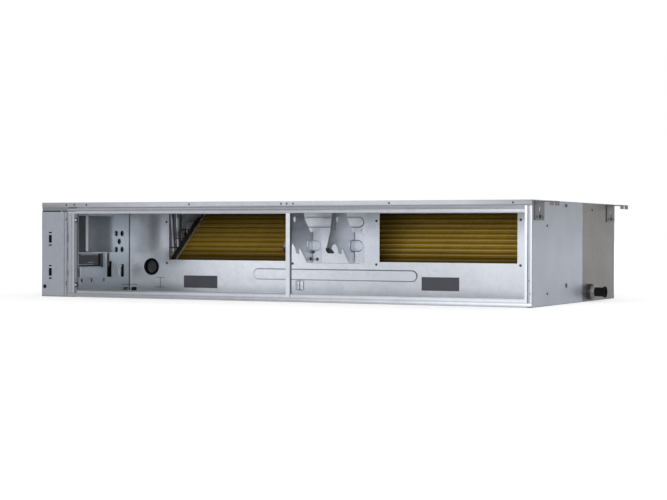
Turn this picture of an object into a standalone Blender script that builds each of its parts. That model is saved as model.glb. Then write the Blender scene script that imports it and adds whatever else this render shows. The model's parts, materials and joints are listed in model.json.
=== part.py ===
"""Ducted air conditioner: the indoor unit of a concealed duct system, blowers taken out.

Row frame: X to the right, Y from the open return side to the discharge side, Z up.
The origin is the centre of the casing's base. All sizes are in metres.
"""

import math

import bmesh
import bpy
from mathutils import Matrix, Vector

# Casing
CASE_W = 1.067
CASE_D = 0.555
CASE_H = 0.210
SHEET = 0.001
GAP = 0.0003
LIP_TOP = 0.011
LIP_BASE = 0.009
FLANGE = 0.012
DECK_DEPTH = CASE_D * 0.3892
SIDE_SPLIT = CASE_D * 0.5784
PANEL_PRESS = 0.0015
BEAD_END = 0.030
BEAD_WIDTH = 0.010
BEAD_BEFORE_PIPES = 0.0375
BEAD_SPACING = 0.024
TOP_PRESS_LENGTH = 0.380
TOP_PRESS_WIDTH = 0.030
TOP_PRESS_X = 0.265
TOP_PRESS_Y = 0.140

# Front frame
RAIL_DEPTH = 0.025
RAIL_FOLD = 0.0075
RAIL_RETURN = 0.013
RAIL_GROOVE = 0.0022
RAIL_GROOVE_DEPTH = 0.005
LIP_EDGE = 0.002
LOWER_RAIL_TOP = 0.017
POST_W = 0.015
POST_HEM = 0.004
POST_GROOVE = 0.0055
POST_GROOVE_DEPTH = 0.003
POST_LEG = 0.025
POST_RETURN = 0.012
LEFT_POST_OUT = 0.0185
LEFT_POST_RETURN = 0.005
LEFT_POST_OUTER = 0.007
LEFT_POST_GROOVE = (0.0018, 0.003)
LEFT_POST_STEP = (0.0026, 0.004)
MULLION_W = 0.010
MULLION_D = 0.008

# Fan deck
OPEN_INNER = 0.1105
OPEN_FROM_SIDES = (0.1095, 0.1073)
OPEN_LOW = CASE_H * 0.388
OPEN_HIGH = CASE_H * 0.8905
DECK_PRESS = 0.002
LONG_BEAD = (0.397, 0.0208)
LONG_BEAD_Z = CASE_H * 0.2467
SHORT_BEAD = (0.144, 0.0196)
SHORT_BEAD_Z = CASE_H * 0.8000
CABLE_HOLE_X = 0.0628
CABLE_HOLE_Z = 0.065
CABLE_HOLE_R = 0.017
CORNER_HOLE_X = (0.007, 0.021)
CORNER_HOLE_Z = (0.007, 0.0168)
CLIP_X = -0.083
CLIP_BELOW_BEAD = 0.024
CLIP_W = 0.019
CLIP_H = 0.019
CLIP_RISE = 0.004

# Motor cradles
CRADLE_X = 0.0513
CRADLE_T = 0.0015
CRADLE_TOP = CASE_H * 0.938
CRADLE_FOOT = CASE_H * 0.3752
CRADLE_FLANGE_W = 0.0225
CRADLE_FRONT = 0.1347
CRADLE_HEM = 0.006
CRADLE_TOP_REACH = 0.0422
CRADLE_TAB_W = 0.0146
CRADLE_TAB_SLOPE = 0.0044
CRADLE_TAB_H = 0.010
CRADLE_CORNER = 0.004
MOTOR_REACH = 0.098
MOTOR_Z = CASE_H * 0.481
SADDLE_R = 0.0195
SADDLE_TIP = 0.0125
TOOTH = (0.0105, 0.002)
NOTCH = (0.0130, 0.005)
NOTCH_BACK = (0.0185, 0.012)
GUSSET = (0.0195, 0.0170)
GUSSET_RISE = 0.0145
ROD_HOLE = (0.086, 0.0065)
STRAP_SLOT = (0.0155, 0.009, 0.0235)
STRAP_SLOT_SHARE = 0.3486
ROD_HOLE_SHARE = 0.797
CRADLE_NOSE = ((0.885, 0.5685), (0.814, 0.907), (0.803, 1.0))
CRADLE_NAPE = ((1.0, 1.0), (1.0, 0.8985), (0.917, 0.8055), (0.296, 0.577))
CRADLE_HEEL = 0.26
CRADLE_HEM_LOW = 0.6
TOOTH_EDGES = (1.38, 0.38)
SADDLE_TURN = (166, 27)
CRADLE_SCREW_R = 0.0022
PLATE_SCREW = (0.010, 0.0082)
FLANGE_SCREW = (0.014, 0.0072)
FLANGE_HOLE = (0.0048, 0.0247, 0.0028)
PAD_T = 0.0055
JAW_TOP = (0.0030, 0.0135)
JAW_HEEL = (0.0190, 0.0115)
JAW_TIP = (0.0270, 0.0040)
JAW_POINT = (0.0250, 0.0025)
JAW_SOLE = (0.0090, 0.0030)
JAW_NOSE = (0.0030, 0.0075)

# Left inner wall
WINDOW_START = 0.012
WINDOW_BEFORE_DECK = 0.061
WINDOW_LOW = 0.099
WINDOW_BELOW_TOP = 0.029
LOWER_WINDOW_BEFORE_DECK = 0.113
LOWER_WINDOW_Z = (0.067, 0.096)
KEYHOLE_NECK_BEFORE_DECK = (0.0925, 0.0875)
KEYHOLE_NECK_Z = (0.077, 0.096)
KEYHOLE_BEFORE_DECK = (0.092, 0.0735)
KEYHOLE_Z = (0.042, 0.078)
ANCHOR_SLOT_BEFORE_DECK = (0.035, 0.023)
ANCHOR_SLOT_Z = (0.041, 0.070)
WALL_NOTCH_BEFORE_DECK = (0.0225, 0.0056)
WIRE_HOLE_R = 0.005
WIRE_HOLE_BEFORE_DECK = 0.0428
WIRE_HOLE_Z = 0.1230
WIRE_HOLE_SPREAD = (0.0118, 0.0186)
TIE_SLOT = (0.0085, 0.004)
TIE_SLOTS_Y = (0.0245, 0.0616, 0.1113)
TIE_SLOT_Z = 0.0358
TROUGH_Y = (0.0096, 0.107)
TROUGH_Z = (0.042, 0.050, 0.0644)
TROUGH_DEPTH = 0.006
ANCHOR_BEFORE_DECK = (0.0535, 0.0365)
ANCHOR_Z = (0.045, 0.068)
ANCHOR_T = 0.003
ANCHOR_STEM = 0.004

# Electrical box
BOX_W = 0.090
BOX_BEFORE_DECK = 0.003
COVER_FACE_W = 0.0594
COVER_BELOW_TOP = 0.0207
COVER_RETURN = 0.012
TRAY_STRIP_W = 0.0066
TRAY_STRIP_HIDDEN = 0.010
TRAY_STRIP_BELOW_TOP = 0.0182
VENT_X = 0.0223
VENT_W = 0.0082
VENT_H = 0.0174
VENT_SLIT_H = 0.003
VENT_SLIT_STEP = 0.014
VENT_CENTRES_Z = (0.129, 0.055)
CABLE_EYE_X = 0.0075
CABLE_EYE_Z = 0.0225
CABLE_EYE_R = 0.0047
DIVIDER_OUT = 0.033
DIVIDER_BEFORE_DECK = 0.1275
DIVIDER_Z = (0.0985, 0.190)
DIVIDER_FOLD = 0.004
DIVIDER_FOOT = 0.010
BOARD_Y = (0.014, 0.116)
BOARD_Z = (0.009, 0.063)
BOARD_T = 0.0016
BOARD_STANDOFF = 0.006
BOARD_PILLAR_R = 0.0025
BOARD_PILLAR_INSET = 0.005
TRANSFORMER = (0.024, 0.028, 0.036)
RELAY = (0.016, 0.018, 0.022)
RELAY_SPACING = 0.022
CHIP = (0.004, 0.036, 0.012)
PART_SPACING = 0.006
PART_ABOVE_EDGE = 0.007
TERMINAL_X = 0.012
TERMINAL_W = 0.058
TERMINAL_Z = (0.070, 0.093)
TERMINAL_BASE = 0.010
TERMINAL_WALL = 0.006
TERMINAL_WALLS = 7
TERMINAL_RIB = 0.0016
CAPACITOR_X = 0.014
CAPACITOR_W = 0.046
CAPACITOR_T = 0.019
CAPACITOR_Z = (0.018, 0.050)

# Hanger lugs
LUG_W = 0.056
LUG_T = 0.0016
LUG_REACH = 0.0325
LUG_LIP = 0.009
LUG_BELOW_TOP = 0.002
LUG_LEG = 0.038
LUG_SLOT_W = 0.011
LUG_SLOT_START = 0.010
LUG_FRONT_RIGHT = 0.040
LUG_BEHIND_BOX = 0.040
LUG_FROM_REAR = 0.034
LUG_KEY_W = 0.005
LUG_KEY_H = 0.014
LUG_KEY_DROP = 0.018
LUG_HOLE_R = 0.0022
LUG_HOLE_DROP = 0.031
LUG_HOLE_Y = 0.018

# Coil
COIL_LEAN = math.radians(50.9)
COIL_CIRCUITS = 7
COIL_ROW = 0.014
COIL_FOOT_BEHIND_DECK = 0.0295
COIL_FOOT_Z = 0.046
COIL_RIDGE = 0.0014
PIPE_SPACE = 0.087
BEND_SPACE = 0.025
END_PLATE_T = 0.0012
END_PLATE_MARGIN = 0.0025
END_PLATE_FOOT_W = 0.020
TUBE_R = 0.0035
BEND_LEG = 0.002
HEADER_OFF = 0.028
HEADER_END = 0.0034
CAPILLARY_R = 0.0013
CAPILLARY_OFF = 0.050
CAPILLARY_BEND = 0.010
CAPILLARY_START = 0.003
CAPILLARY_LEAD = 0.012
PIPES_BEHIND_HEADER = 0.0217
GAS_PIPE_R = 0.0079
GAS_BEND = 0.022
GAS_EXIT_Z = 0.140
LIQUID_PIPE_R = 0.0048
LIQUID_BEND = 0.016
LIQUID_EXIT_Z = 0.075
DISTRIBUTOR_BEFORE_EXIT = 0.052
STUB_OUT = 0.050
FLARE_GROW = 0.0025
FLARE_L = 0.003
PIPE_WALL = 0.001
STUB_BORE = 0.030
GAS_NUT_R = 0.0155
GAS_NUT_L = 0.024
LIQUID_NUT_R = 0.0115
LIQUID_NUT_L = 0.019
NUT_CLEAR = 0.0003
DISTRIBUTOR_R = 0.008
DISTRIBUTOR_L = 0.022
SEAL_WALL = 0.004
SEAL_RIM = 0.0025

# Drain
PAN_FRONT_CLEAR = 0.0015
PAN_D = 0.176
PAN_H = 0.040
PAN_WALL = 0.008
PAN_FLOOR = 0.011
DRAIN_BEHIND_DECK = 0.1525
DRAIN_Z = 0.0205
SPOUT_R = 0.008
SPOUT_BORE_R = 0.006
SPOUT_OUT = 0.030
COLLAR_R = 0.017
COLLAR_L = 0.0145
COLLAR_STEP = 0.007
COLLAR_NUT_R = 0.0158
COLLAR_EDGE = 0.0015
SLEEVE_R = 0.0097
SLEEVE_END_R = 0.0119
SLEEVE_END = 0.037
SLEEVE_FLARE = 0.007

# Discharge side and foam
DISCHARGE_X = 0.050
DISCHARGE_LOW = 0.034
DISCHARGE_BELOW_TOP = 0.024
REAR_FRAME_FOLD = 0.012
COLLAR_FLANGE = 0.0125
DISCHARGE_OUT = 0.025
FOAM_T = 0.0045
FOAM_MARGIN = 0.002
SIDE_FOAM_T = 0.003
SIDE_FOAM_HIGH = 0.0375
SIDE_FOAM_BEFORE_PIPES = 0.0244
SIDE_FOAM_CLEAR = 0.0005

# Places that follow from the sizes
LEFT = -CASE_W / 2
RIGHT = CASE_W / 2
FRONT = -CASE_D / 2
REAR = CASE_D / 2
INNER_LEFT = LEFT + SHEET
INNER_RIGHT = RIGHT - SHEET
FLOOR = SHEET + GAP
CEILING = CASE_H - SHEET - GAP
INNER_FLOOR = FLOOR + SHEET + GAP
INNER_CEILING = CEILING - SHEET - GAP
DECK = FRONT + DECK_DEPTH
SPLIT = FRONT + SIDE_SPLIT
WALL_START = FRONT + 2 * (SHEET + GAP)
WALL_END = REAR - SHEET - GAP
RAIL_BOTTOM = CASE_H - RAIL_DEPTH
CRADLE_ROOT_TOP = CRADLE_FOOT + 0.556 * (CRADLE_TOP - CRADLE_FOOT)
BOX_LEFT = LEFT - BOX_W
BOX_REAR = DECK - BOX_BEFORE_DECK
COVER_FACE_TOP = CASE_H - COVER_BELOW_TOP
TRAY_FRONT_STRIP_Z = CASE_H - TRAY_STRIP_BELOW_TOP
LUG_TOP = CASE_H - LUG_BELOW_TOP
TRAY_BACK = BOX_REAR - SHEET - GAP
COVER_EDGE = BOX_LEFT + COVER_FACE_W
POST_EDGE = LEFT - LEFT_POST_OUT
FOAM_TOP = CEILING - PANEL_PRESS
COIL_TUBES = 2 * COIL_CIRCUITS
COIL_T = 2 * COIL_ROW
COIL_RISE = FOAM_TOP - FOAM_T - GAP - COIL_FOOT_Z - (END_PLATE_MARGIN + COIL_RIDGE) * math.sin(COIL_LEAN)
COIL_LEN = COIL_RISE / math.cos(COIL_LEAN) - END_PLATE_MARGIN
COIL_PITCH = COIL_LEN / COIL_TUBES
HEADER_RUN = (COIL_LEN + HEADER_END) * math.sin(COIL_LEAN) + 1.5 * COIL_ROW * math.cos(COIL_LEAN)
PIPES_Y = DECK + COIL_FOOT_BEHIND_DECK + HEADER_RUN + PIPES_BEHIND_HEADER
GAS_EXIT = (PIPES_Y, GAS_EXIT_Z)
LIQUID_EXIT = (PIPES_Y, LIQUID_EXIT_Z)
COIL_LEFT = LEFT + PIPE_SPACE
COIL_RIGHT = RIGHT - BEND_SPACE
PAN_FRONT = DECK + FLANGE + PAN_FRONT_CLEAR
PAN_FLOOR_TOP = INNER_FLOOR + PAN_FLOOR
DRAIN_Y = DECK + DRAIN_BEHIND_DECK
STUB_END = LEFT - STUB_OUT

BIG = 1.0


def clear_scene():
    for obj in list(bpy.data.objects):
        bpy.data.objects.remove(obj, do_unlink=True)


def material(name, colour, roughness, metallic=0.0):
    mat = bpy.data.materials.new(name)
    mat.use_nodes = True
    shader = mat.node_tree.nodes["Principled BSDF"]
    shader.inputs["Base Color"].default_value = (*colour, 1.0)
    shader.inputs["Roughness"].default_value = roughness
    shader.inputs["Metallic"].default_value = metallic
    mat.diffuse_color = (*colour, 1.0)
    return mat


def galvanised(name):
    return material(name, (0.66, 0.68, 0.70), 0.32, 0.9)


def copper(name):
    return material(name, (0.72, 0.38, 0.22), 0.3, 1.0)


def black_rubber(name):
    return material(name, (0.02, 0.02, 0.022), 0.7)


def object_from(bm, name):
    """An object from a bmesh, with its faces turned outwards."""
    bmesh.ops.recalc_face_normals(bm, faces=bm.faces)
    mesh = bpy.data.meshes.new(name)
    bm.to_mesh(mesh)
    bm.free()
    obj = bpy.data.objects.new(name, mesh)
    bpy.context.scene.collection.objects.link(obj)
    return obj


def at(axis, first, second, level):
    """A point from an outline's two values, in the order of X, Y, Z, and its level along the third axis."""
    if axis == "X":
        return Vector((level, first, second))
    if axis == "Y":
        return Vector((first, level, second))
    return Vector((first, second, level))


def skin(loops, name, closed):
    """A body from loops of equally many points: a closed chain of loops, or an open one with end caps."""
    bm = bmesh.new()
    rings = [[bm.verts.new(point) for point in loop] for loop in loops]
    pairs = list(zip(rings, rings[1:]))
    if closed:
        pairs.append((rings[-1], rings[0]))
    else:
        bm.faces.new(rings[0])
        bm.faces.new(rings[-1])
    for ring, following in pairs:
        for index in range(len(ring)):
            after = (index + 1) % len(ring)
            bm.faces.new((ring[index], ring[after], following[after], following[index]))
    return object_from(bm, name)


def extrude(outline, axis, start, stop, name="piece"):
    loops = [[at(axis, *point, level) for point in outline] for level in (start, stop)]
    return skin(loops, name, closed=False)


def loft(outline, top_outline, axis, start, stop, name="piece"):
    bottom = [at(axis, *point, start) for point in outline]
    top = [at(axis, *point, stop) for point in top_outline]
    loops = [bottom, top]
    return skin(loops, name, closed=False)


def block(xs, ys, zs, name="piece"):
    return extrude(rectangle(xs, ys), "Z", *zs, name)


def rectangle(firsts, seconds):
    left, right = firsts
    low, high = seconds
    return [(left, low), (right, low), (right, high), (left, high)]


def circle(centre, radius, sides=24):
    turns = [2 * math.pi * index / sides for index in range(sides)]
    return [(centre[0] + radius * math.cos(turn), centre[1] + radius * math.sin(turn)) for turn in turns]


def arc(centre, radius, start, stop, steps):
    turns = [math.radians(start + (stop - start) * index / steps) for index in range(steps + 1)]
    return [(centre[0] + radius * math.cos(turn), centre[1] + radius * math.sin(turn)) for turn in turns]


def obround(centre, length, width, grow=0.0, steps=8):
    """A slot's outline, long along its first value."""
    radius = width / 2 + grow
    half = (length - width) / 2
    right = arc((centre[0] + half, centre[1]), radius, -90, 90, steps)
    left = arc((centre[0] - half, centre[1]), radius, 90, 270, steps)
    return right + left


def folded(path, side, thickness=SHEET):
    """The outline of a sheet folded along a path, on the path's left for side +1 and its right for -1."""
    points = [Vector(point) for point in path]
    normals = []
    for start, stop in zip(points, points[1:]):
        along = (stop - start).normalized()
        normals.append(Vector((-along.y, along.x)) * side)
    other = []
    for index, point in enumerate(points):
        before = normals[max(index - 1, 0)]
        after = normals[min(index, len(normals) - 1)]
        mitre = before + after
        other.append(point + mitre * (2 * thickness / mitre.length_squared))
    return [tuple(point) for point in points] + [tuple(point) for point in reversed(other)]


def ring_of(outer, inner, axis, start, stop, name="piece"):
    """A tube between two outlines of equally many points."""
    levels = ((outer, start), (outer, stop), (inner, stop), (inner, start))
    loops = [[at(axis, *point, level) for point in outline] for outline, level in levels]
    return skin(loops, name, closed=True)


def frame_of(profile, firsts, seconds, axis, name="piece"):
    """A closed profile of (growth, level) points carried round a rectangle."""
    loops = []
    for grow, level in profile:
        outline = rectangle((firsts[0] - grow, firsts[1] + grow), (seconds[0] - grow, seconds[1] + grow))
        loops.append([at(axis, *point, level) for point in outline])
    return skin(loops, name, closed=True)


def turned(profile, axis, centre, name="piece", sides=24):
    """A closed profile of (radius, level) points turned about an axis."""
    loops = []
    for radius, level in profile:
        loops.append([at(axis, *point, level) for point in circle(centre, radius, sides)])
    return skin(loops, name, closed=True)


def rod(axis, centre, radius, start, stop, sides=24, name="piece"):
    return extrude(circle(centre, radius, sides), axis, start, stop, name)


def rounded(points, radius, steps=4):
    """A path with each inner corner replaced by a curve that starts at most one radius before it."""
    points = [Vector(point) for point in points]
    path = [points[0]]
    for before, corner, after in zip(points, points[1:], points[2:]):
        back = before - corner
        ahead = after - corner
        reach = min(radius, back.length * 0.45, ahead.length * 0.45)
        start = corner + back.normalized() * reach
        stop = corner + ahead.normalized() * reach
        for index in range(steps + 1):
            share = index / steps
            path.append(start.lerp(corner, share).lerp(corner.lerp(stop, share), share))
    path.append(points[-1])
    return path


def pipe(path, radius, sides=10, name="piece"):
    """A round bar along a path, its rings carried from point to point without twist."""
    path = [Vector(point) for point in path]
    tangents = []
    for index in range(len(path)):
        before = path[max(index - 1, 0)]
        after = path[min(index + 1, len(path) - 1)]
        tangents.append((after - before).normalized())
    across = tangents[0].orthogonal().normalized()
    loops = []
    for point, tangent in zip(path, tangents):
        across = (across - tangent * across.dot(tangent)).normalized()
        up = tangent.cross(across)
        ring = [point + across * dx + up * dy for dx, dy in circle((0, 0), radius, sides)]
        loops.append(ring)
    return skin(loops, name, closed=False)


def combine(body, others, operation):
    """The body joined with, or cut by, the other objects, which are used up."""
    for other in others:
        modifier = body.modifiers.new(operation.title(), "BOOLEAN")
        modifier.operation = operation
        modifier.object = other
    graph = bpy.context.evaluated_depsgraph_get()
    mesh = bpy.data.meshes.new_from_object(body.evaluated_get(graph))
    body.modifiers.clear()
    spent = body.data
    body.data = mesh
    bpy.data.meshes.remove(spent)
    for other in others:
        bpy.data.objects.remove(other, do_unlink=True)
    return body


def joined(body, *others):
    return combine(body, others, "UNION")


def cut(body, *others):
    return combine(body, others, "DIFFERENCE")


def pressed(body, outline_grown_by, axis, face, rise):
    """A flat-topped pressing in a sheet: face is the level of the side it rises from, and rise is signed."""
    away = 1 if rise > 0 else -1
    depth = abs(rise)
    bottom = outline_grown_by(depth)
    top = outline_grown_by(0.0)
    boss = loft(bottom, top, axis, face - away * SHEET / 2, face + rise)
    mouth = outline_grown_by(depth + SHEET)
    pocket = loft(mouth, top, axis, face - away * 2 * SHEET, face + rise - away * SHEET)
    joined(body, boss)
    return cut(body, pocket)


def finish(obj, name, mat, parent, origin=None):
    """Names the object, gives it its material, and puts its origin at the stated place or at its middle."""
    obj.name = name
    obj.data.name = name
    obj.data.materials.clear()
    obj.data.materials.append(mat)
    if origin is None:
        corners = [Vector(corner) for corner in obj.bound_box]
        origin = (corners[0] + corners[6]) / 2
    obj.data.transform(Matrix.Translation(-Vector(origin)))
    obj.location = origin
    obj.parent = parent
    obj.data.shade_smooth()
    obj.data.set_sharp_from_angle(angle=math.radians(35))
    return obj


def group(name, parent=None):
    empty = bpy.data.objects.new(name, None)
    bpy.context.scene.collection.objects.link(empty)
    empty.parent = parent
    return empty


def from_front(depths):
    return tuple(FRONT + depth for depth in depths)


def before_deck(distances):
    return tuple(DECK - distance for distance in distances)


def top_panel():
    path = [(FRONT, CASE_H - LIP_TOP), (FRONT, CASE_H), (REAR, CASE_H), (REAR, CASE_H - LIP_TOP)]
    panel = extrude(folded(path, -1), "X", BOX_LEFT, RIGHT)
    cut(panel, block((BOX_LEFT - BIG, LEFT), (BOX_REAR, REAR + BIG), (0, BIG)))
    for side in (-1, 1):
        for row in (-1, 1):
            centre = (side * TOP_PRESS_X, row * TOP_PRESS_Y)

            def outline(grow):
                return obround(centre, TOP_PRESS_LENGTH, TOP_PRESS_WIDTH, grow)

            pressed(panel, outline, "Z", CASE_H - SHEET, -PANEL_PRESS)
    return panel


def base_panel():
    path = [(DECK + GAP, 0), (REAR, 0), (REAR, LIP_BASE)]
    return extrude(folded(path, 1), "X", LEFT, RIGHT)


def bay_floor_panel():
    """The floor under the fan bay, whose front lip also runs in front of the left post."""
    path = [(FRONT, LIP_BASE), (FRONT, LIP_EDGE), (FRONT + LIP_EDGE, 0), (DECK, 0)]
    panel = extrude(folded(path, 1), "X", POST_EDGE, RIGHT)
    return cut(panel, block((POST_EDGE - BIG, LEFT), (FRONT + SHEET, DECK + BIG), (-BIG, BIG)))


def side_channel(side, start, stop):
    """A side panel, right for side +1 and left for -1, its top and bottom flanges folded inwards."""
    outer = side * RIGHT
    inner = outer - side * FLANGE
    path = [(inner, FLOOR), (outer, FLOOR), (outer, CEILING), (inner, CEILING)]
    return extrude(folded(path, side), "Y", start, stop)


def right_rear_panel():
    panel = side_channel(1, SPLIT + GAP / 2, WALL_END)
    return cut(panel, rod("X", (DRAIN_Y, DRAIN_Z), SPOUT_R + GAP, INNER_RIGHT - SHEET, RIGHT + SHEET))


def left_side_wall():
    """The fan bay's left wall: cable windows into the electrical box, slots and cable holes."""
    wall = side_channel(-1, WALL_START + LEFT_POST_STEP[1], SPLIT - GAP / 2)
    through = (LEFT - SHEET, INNER_LEFT + SHEET)
    cutters = []
    window_start = FRONT + WINDOW_START
    openings = (
        ((window_start, DECK - WINDOW_BEFORE_DECK), (WINDOW_LOW, CASE_H - WINDOW_BELOW_TOP)),
        ((window_start, DECK - LOWER_WINDOW_BEFORE_DECK), LOWER_WINDOW_Z),
        (before_deck(KEYHOLE_NECK_BEFORE_DECK), KEYHOLE_NECK_Z),
        (before_deck(KEYHOLE_BEFORE_DECK), KEYHOLE_Z),
        (before_deck(ANCHOR_SLOT_BEFORE_DECK), ANCHOR_SLOT_Z),
        (before_deck(WALL_NOTCH_BEFORE_DECK), CORNER_HOLE_Z),
    )
    for ys, zs in openings:
        cutters.append(block(through, ys, zs))
    for column, row in ((-1, -1), (1, -1), (0, 0), (-1, 1), (1, 1)):
        y = DECK - WIRE_HOLE_BEFORE_DECK + column * WIRE_HOLE_SPREAD[0]
        z = WIRE_HOLE_Z + row * WIRE_HOLE_SPREAD[1]
        cutters.append(rod("X", (y, z), WIRE_HOLE_R, *through, sides=16))
    for depth in TIE_SLOTS_Y:
        shape = obround((0, 0), *TIE_SLOT, steps=6)
        slot = [(FRONT + depth - second, TIE_SLOT_Z + first) for first, second in shape]
        cutters.append(extrude(slot, "X", *through))
    return cut(wall, *cutters)


def left_rear_panel():
    """The wall that the refrigerant pipes leave through, with two upright pressings."""
    panel = side_channel(-1, SPLIT + GAP / 2, WALL_END)
    for index in range(2):
        y = PIPES_Y - BEAD_BEFORE_PIPES - index * BEAD_SPACING

        def outline(grow):
            shape = obround((0, 0), CASE_H - 2 * BEAD_END, BEAD_WIDTH, grow)
            return [(y - second, CASE_H / 2 + first) for first, second in shape]

        pressed(panel, outline, "X", LEFT, -PANEL_PRESS)
    through = (LEFT - SHEET, INNER_LEFT + SHEET)
    holes = []
    for place, radius in ((GAS_EXIT, GAS_PIPE_R), (LIQUID_EXIT, LIQUID_PIPE_R)):
        holes.append(rod("X", place, radius + SEAL_WALL - SEAL_RIM / 2, *through))
    return cut(panel, *holes)


def rear_frame():
    """The frame round the discharge opening, its inner edges folded into the casing."""
    back = WALL_END
    front = back - SHEET
    edge = COLLAR_FLANGE
    profile = [(0, back), (0, back - REAR_FRAME_FOLD), (SHEET, back - REAR_FRAME_FOLD), (SHEET, front)]
    frame = frame_of(profile + [(edge, front), (edge, back)], discharge_xs(), discharge_zs(), "Y")
    plate = ring_of(
        rectangle((INNER_LEFT + GAP, INNER_RIGHT - GAP), (INNER_FLOOR, INNER_CEILING)),
        rectangle(grown(discharge_xs(), edge / 2), grown(discharge_zs(), edge / 2)),
        "Y",
        front,
        back,
    )
    return joined(frame, plate)


def grown(span, by):
    return (span[0] - by, span[1] + by)


def discharge_xs():
    return (LEFT + DISCHARGE_X, RIGHT - DISCHARGE_X)


def discharge_zs():
    return (DISCHARGE_LOW, CASE_H - DISCHARGE_BELOW_TOP)


def discharge_collar():
    """The spigot frame that a duct slips over."""
    seat = REAR - SHEET
    end = REAR + DISCHARGE_OUT
    profile = [(0, seat), (COLLAR_FLANGE, seat), (COLLAR_FLANGE, REAR), (SHEET, REAR), (SHEET, end), (0, end)]
    return frame_of(profile, discharge_xs(), discharge_zs(), "Y")


def fan_deck():
    """The punched partition that the blowers bolt to: openings, pressed beads and a cable hole."""
    back = DECK + FLANGE
    path = [(back, INNER_CEILING), (DECK, INNER_CEILING), (DECK, INNER_FLOOR), (back, INNER_FLOOR)]
    deck = extrude(folded(path, 1), "X", INNER_LEFT + GAP, INNER_RIGHT - GAP)
    for size, z in ((LONG_BEAD, LONG_BEAD_Z), (SHORT_BEAD, SHORT_BEAD_Z)):

        def outline(grow):
            return obround((0, z), *size, grow, steps=10)

        pressed(deck, outline, "Y", DECK, -DECK_PRESS)
    through = (DECK - SHEET, DECK + 2 * SHEET)
    cutters = []
    for side, from_side in zip((-1, 1), OPEN_FROM_SIDES):
        xs = sorted((side * OPEN_INNER, side * (RIGHT - from_side)))
        cutters.append(block(xs, through, (OPEN_LOW, OPEN_HIGH)))
    cutters.append(rod("Y", (LEFT + CABLE_HOLE_X, CABLE_HOLE_Z), CABLE_HOLE_R, *through))
    corner = (LEFT + CORNER_HOLE_X[0], LEFT + CORNER_HOLE_X[1])
    cutters.append(block(corner, through, CORNER_HOLE_Z))
    return cut(deck, *cutters)


def grommet(axis, centre, bore, wall, rim, sheet_low, sheet_high, name="piece"):
    """A rubber ring in a sheet's hole, with a rim on each face and its neck in the hole."""
    neck = bore + wall - rim / 2 - GAP
    low = sheet_low - GAP
    high = sheet_high + GAP
    outer = bore + wall + rim / 2
    profile = [
        (bore, low - rim),
        (outer, low - rim),
        (outer, low),
        (neck, low),
        (neck, high),
        (outer, high),
        (outer, high + rim),
        (bore, high + rim),
    ]
    return turned(profile, axis, centre, name)


def cable_grommet():
    bore = CABLE_HOLE_R - SEAL_WALL + SEAL_RIM / 2
    return grommet("Y", (LEFT + CABLE_HOLE_X, CABLE_HOLE_Z), bore, SEAL_WALL, SEAL_RIM, DECK, DECK + SHEET)


def harness_clip():
    """A saddle on the deck that a cable is tied to."""
    back = DECK - GAP
    foot = CLIP_W / 4
    path = [
        (CLIP_X - CLIP_W / 2, back),
        (CLIP_X - CLIP_W / 2 + foot, back),
        (CLIP_X - CLIP_W / 2 + foot, back - CLIP_RISE),
        (CLIP_X + CLIP_W / 2 - foot, back - CLIP_RISE),
        (CLIP_X + CLIP_W / 2 - foot, back),
        (CLIP_X + CLIP_W / 2, back),
    ]
    middle = LONG_BEAD_Z - CLIP_BELOW_BEAD
    return extrude(folded(path, -1), "Z", middle - CLIP_H / 2, middle + CLIP_H / 2)


def front_top_rail():
    """The rail under the top panel's lip: a groove below the lip, and a lower band folded forward."""
    rear_face = FRONT + SHEET + GAP
    front_face = FRONT + GAP
    fold = RAIL_BOTTOM + RAIL_FOLD
    groove = rear_face + RAIL_GROOVE_DEPTH
    ledge = CASE_H - LIP_TOP - RAIL_GROOVE
    path = [
        (FRONT + FLANGE, INNER_CEILING),
        (groove, INNER_CEILING),
        (groove, ledge),
        (rear_face, ledge),
        (rear_face, fold + SHEET),
        (front_face, fold),
        (front_face, RAIL_BOTTOM),
        (FRONT + RAIL_RETURN, RAIL_BOTTOM),
    ]
    rail = extrude(folded(path, 1), "X", POST_EDGE, RIGHT - POST_W - GAP)
    behind = (rear_face + SHEET, FRONT + BIG)
    return cut(rail, block((POST_EDGE - BIG, INNER_LEFT + GAP), behind, (0, BIG)))


def front_bottom_rail():
    face = FRONT + SHEET + GAP
    path = [
        (FRONT + FLANGE, INNER_FLOOR),
        (face, INNER_FLOOR),
        (face, LOWER_RAIL_TOP),
        (FRONT + RAIL_RETURN, LOWER_RAIL_TOP),
    ]
    return extrude(folded(path, -1), "X", INNER_LEFT + 2 * GAP + SHEET, RIGHT - POST_W - GAP)


def right_front_post():
    """A rolled post: outer hem, groove, inner strip with a return, and a leg inside the side panel."""
    hem = RIGHT - POST_HEM
    inner = hem - POST_GROOVE
    edge = RIGHT - POST_W
    path = [
        (RIGHT, FRONT),
        (hem, FRONT),
        (hem, FRONT + POST_GROOVE_DEPTH),
        (inner, FRONT + POST_GROOVE_DEPTH),
        (inner, FRONT),
        (edge, FRONT),
        (edge, FRONT + POST_RETURN),
    ]
    levels = (LIP_BASE + GAP, CASE_H - LIP_TOP - GAP)
    post = extrude(folded(path, -1), "Z", *levels)
    leg_out = INNER_RIGHT - GAP
    return joined(post, block((leg_out - SHEET, leg_out), (FRONT + SHEET / 2, FRONT + POST_LEG), levels))


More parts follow.
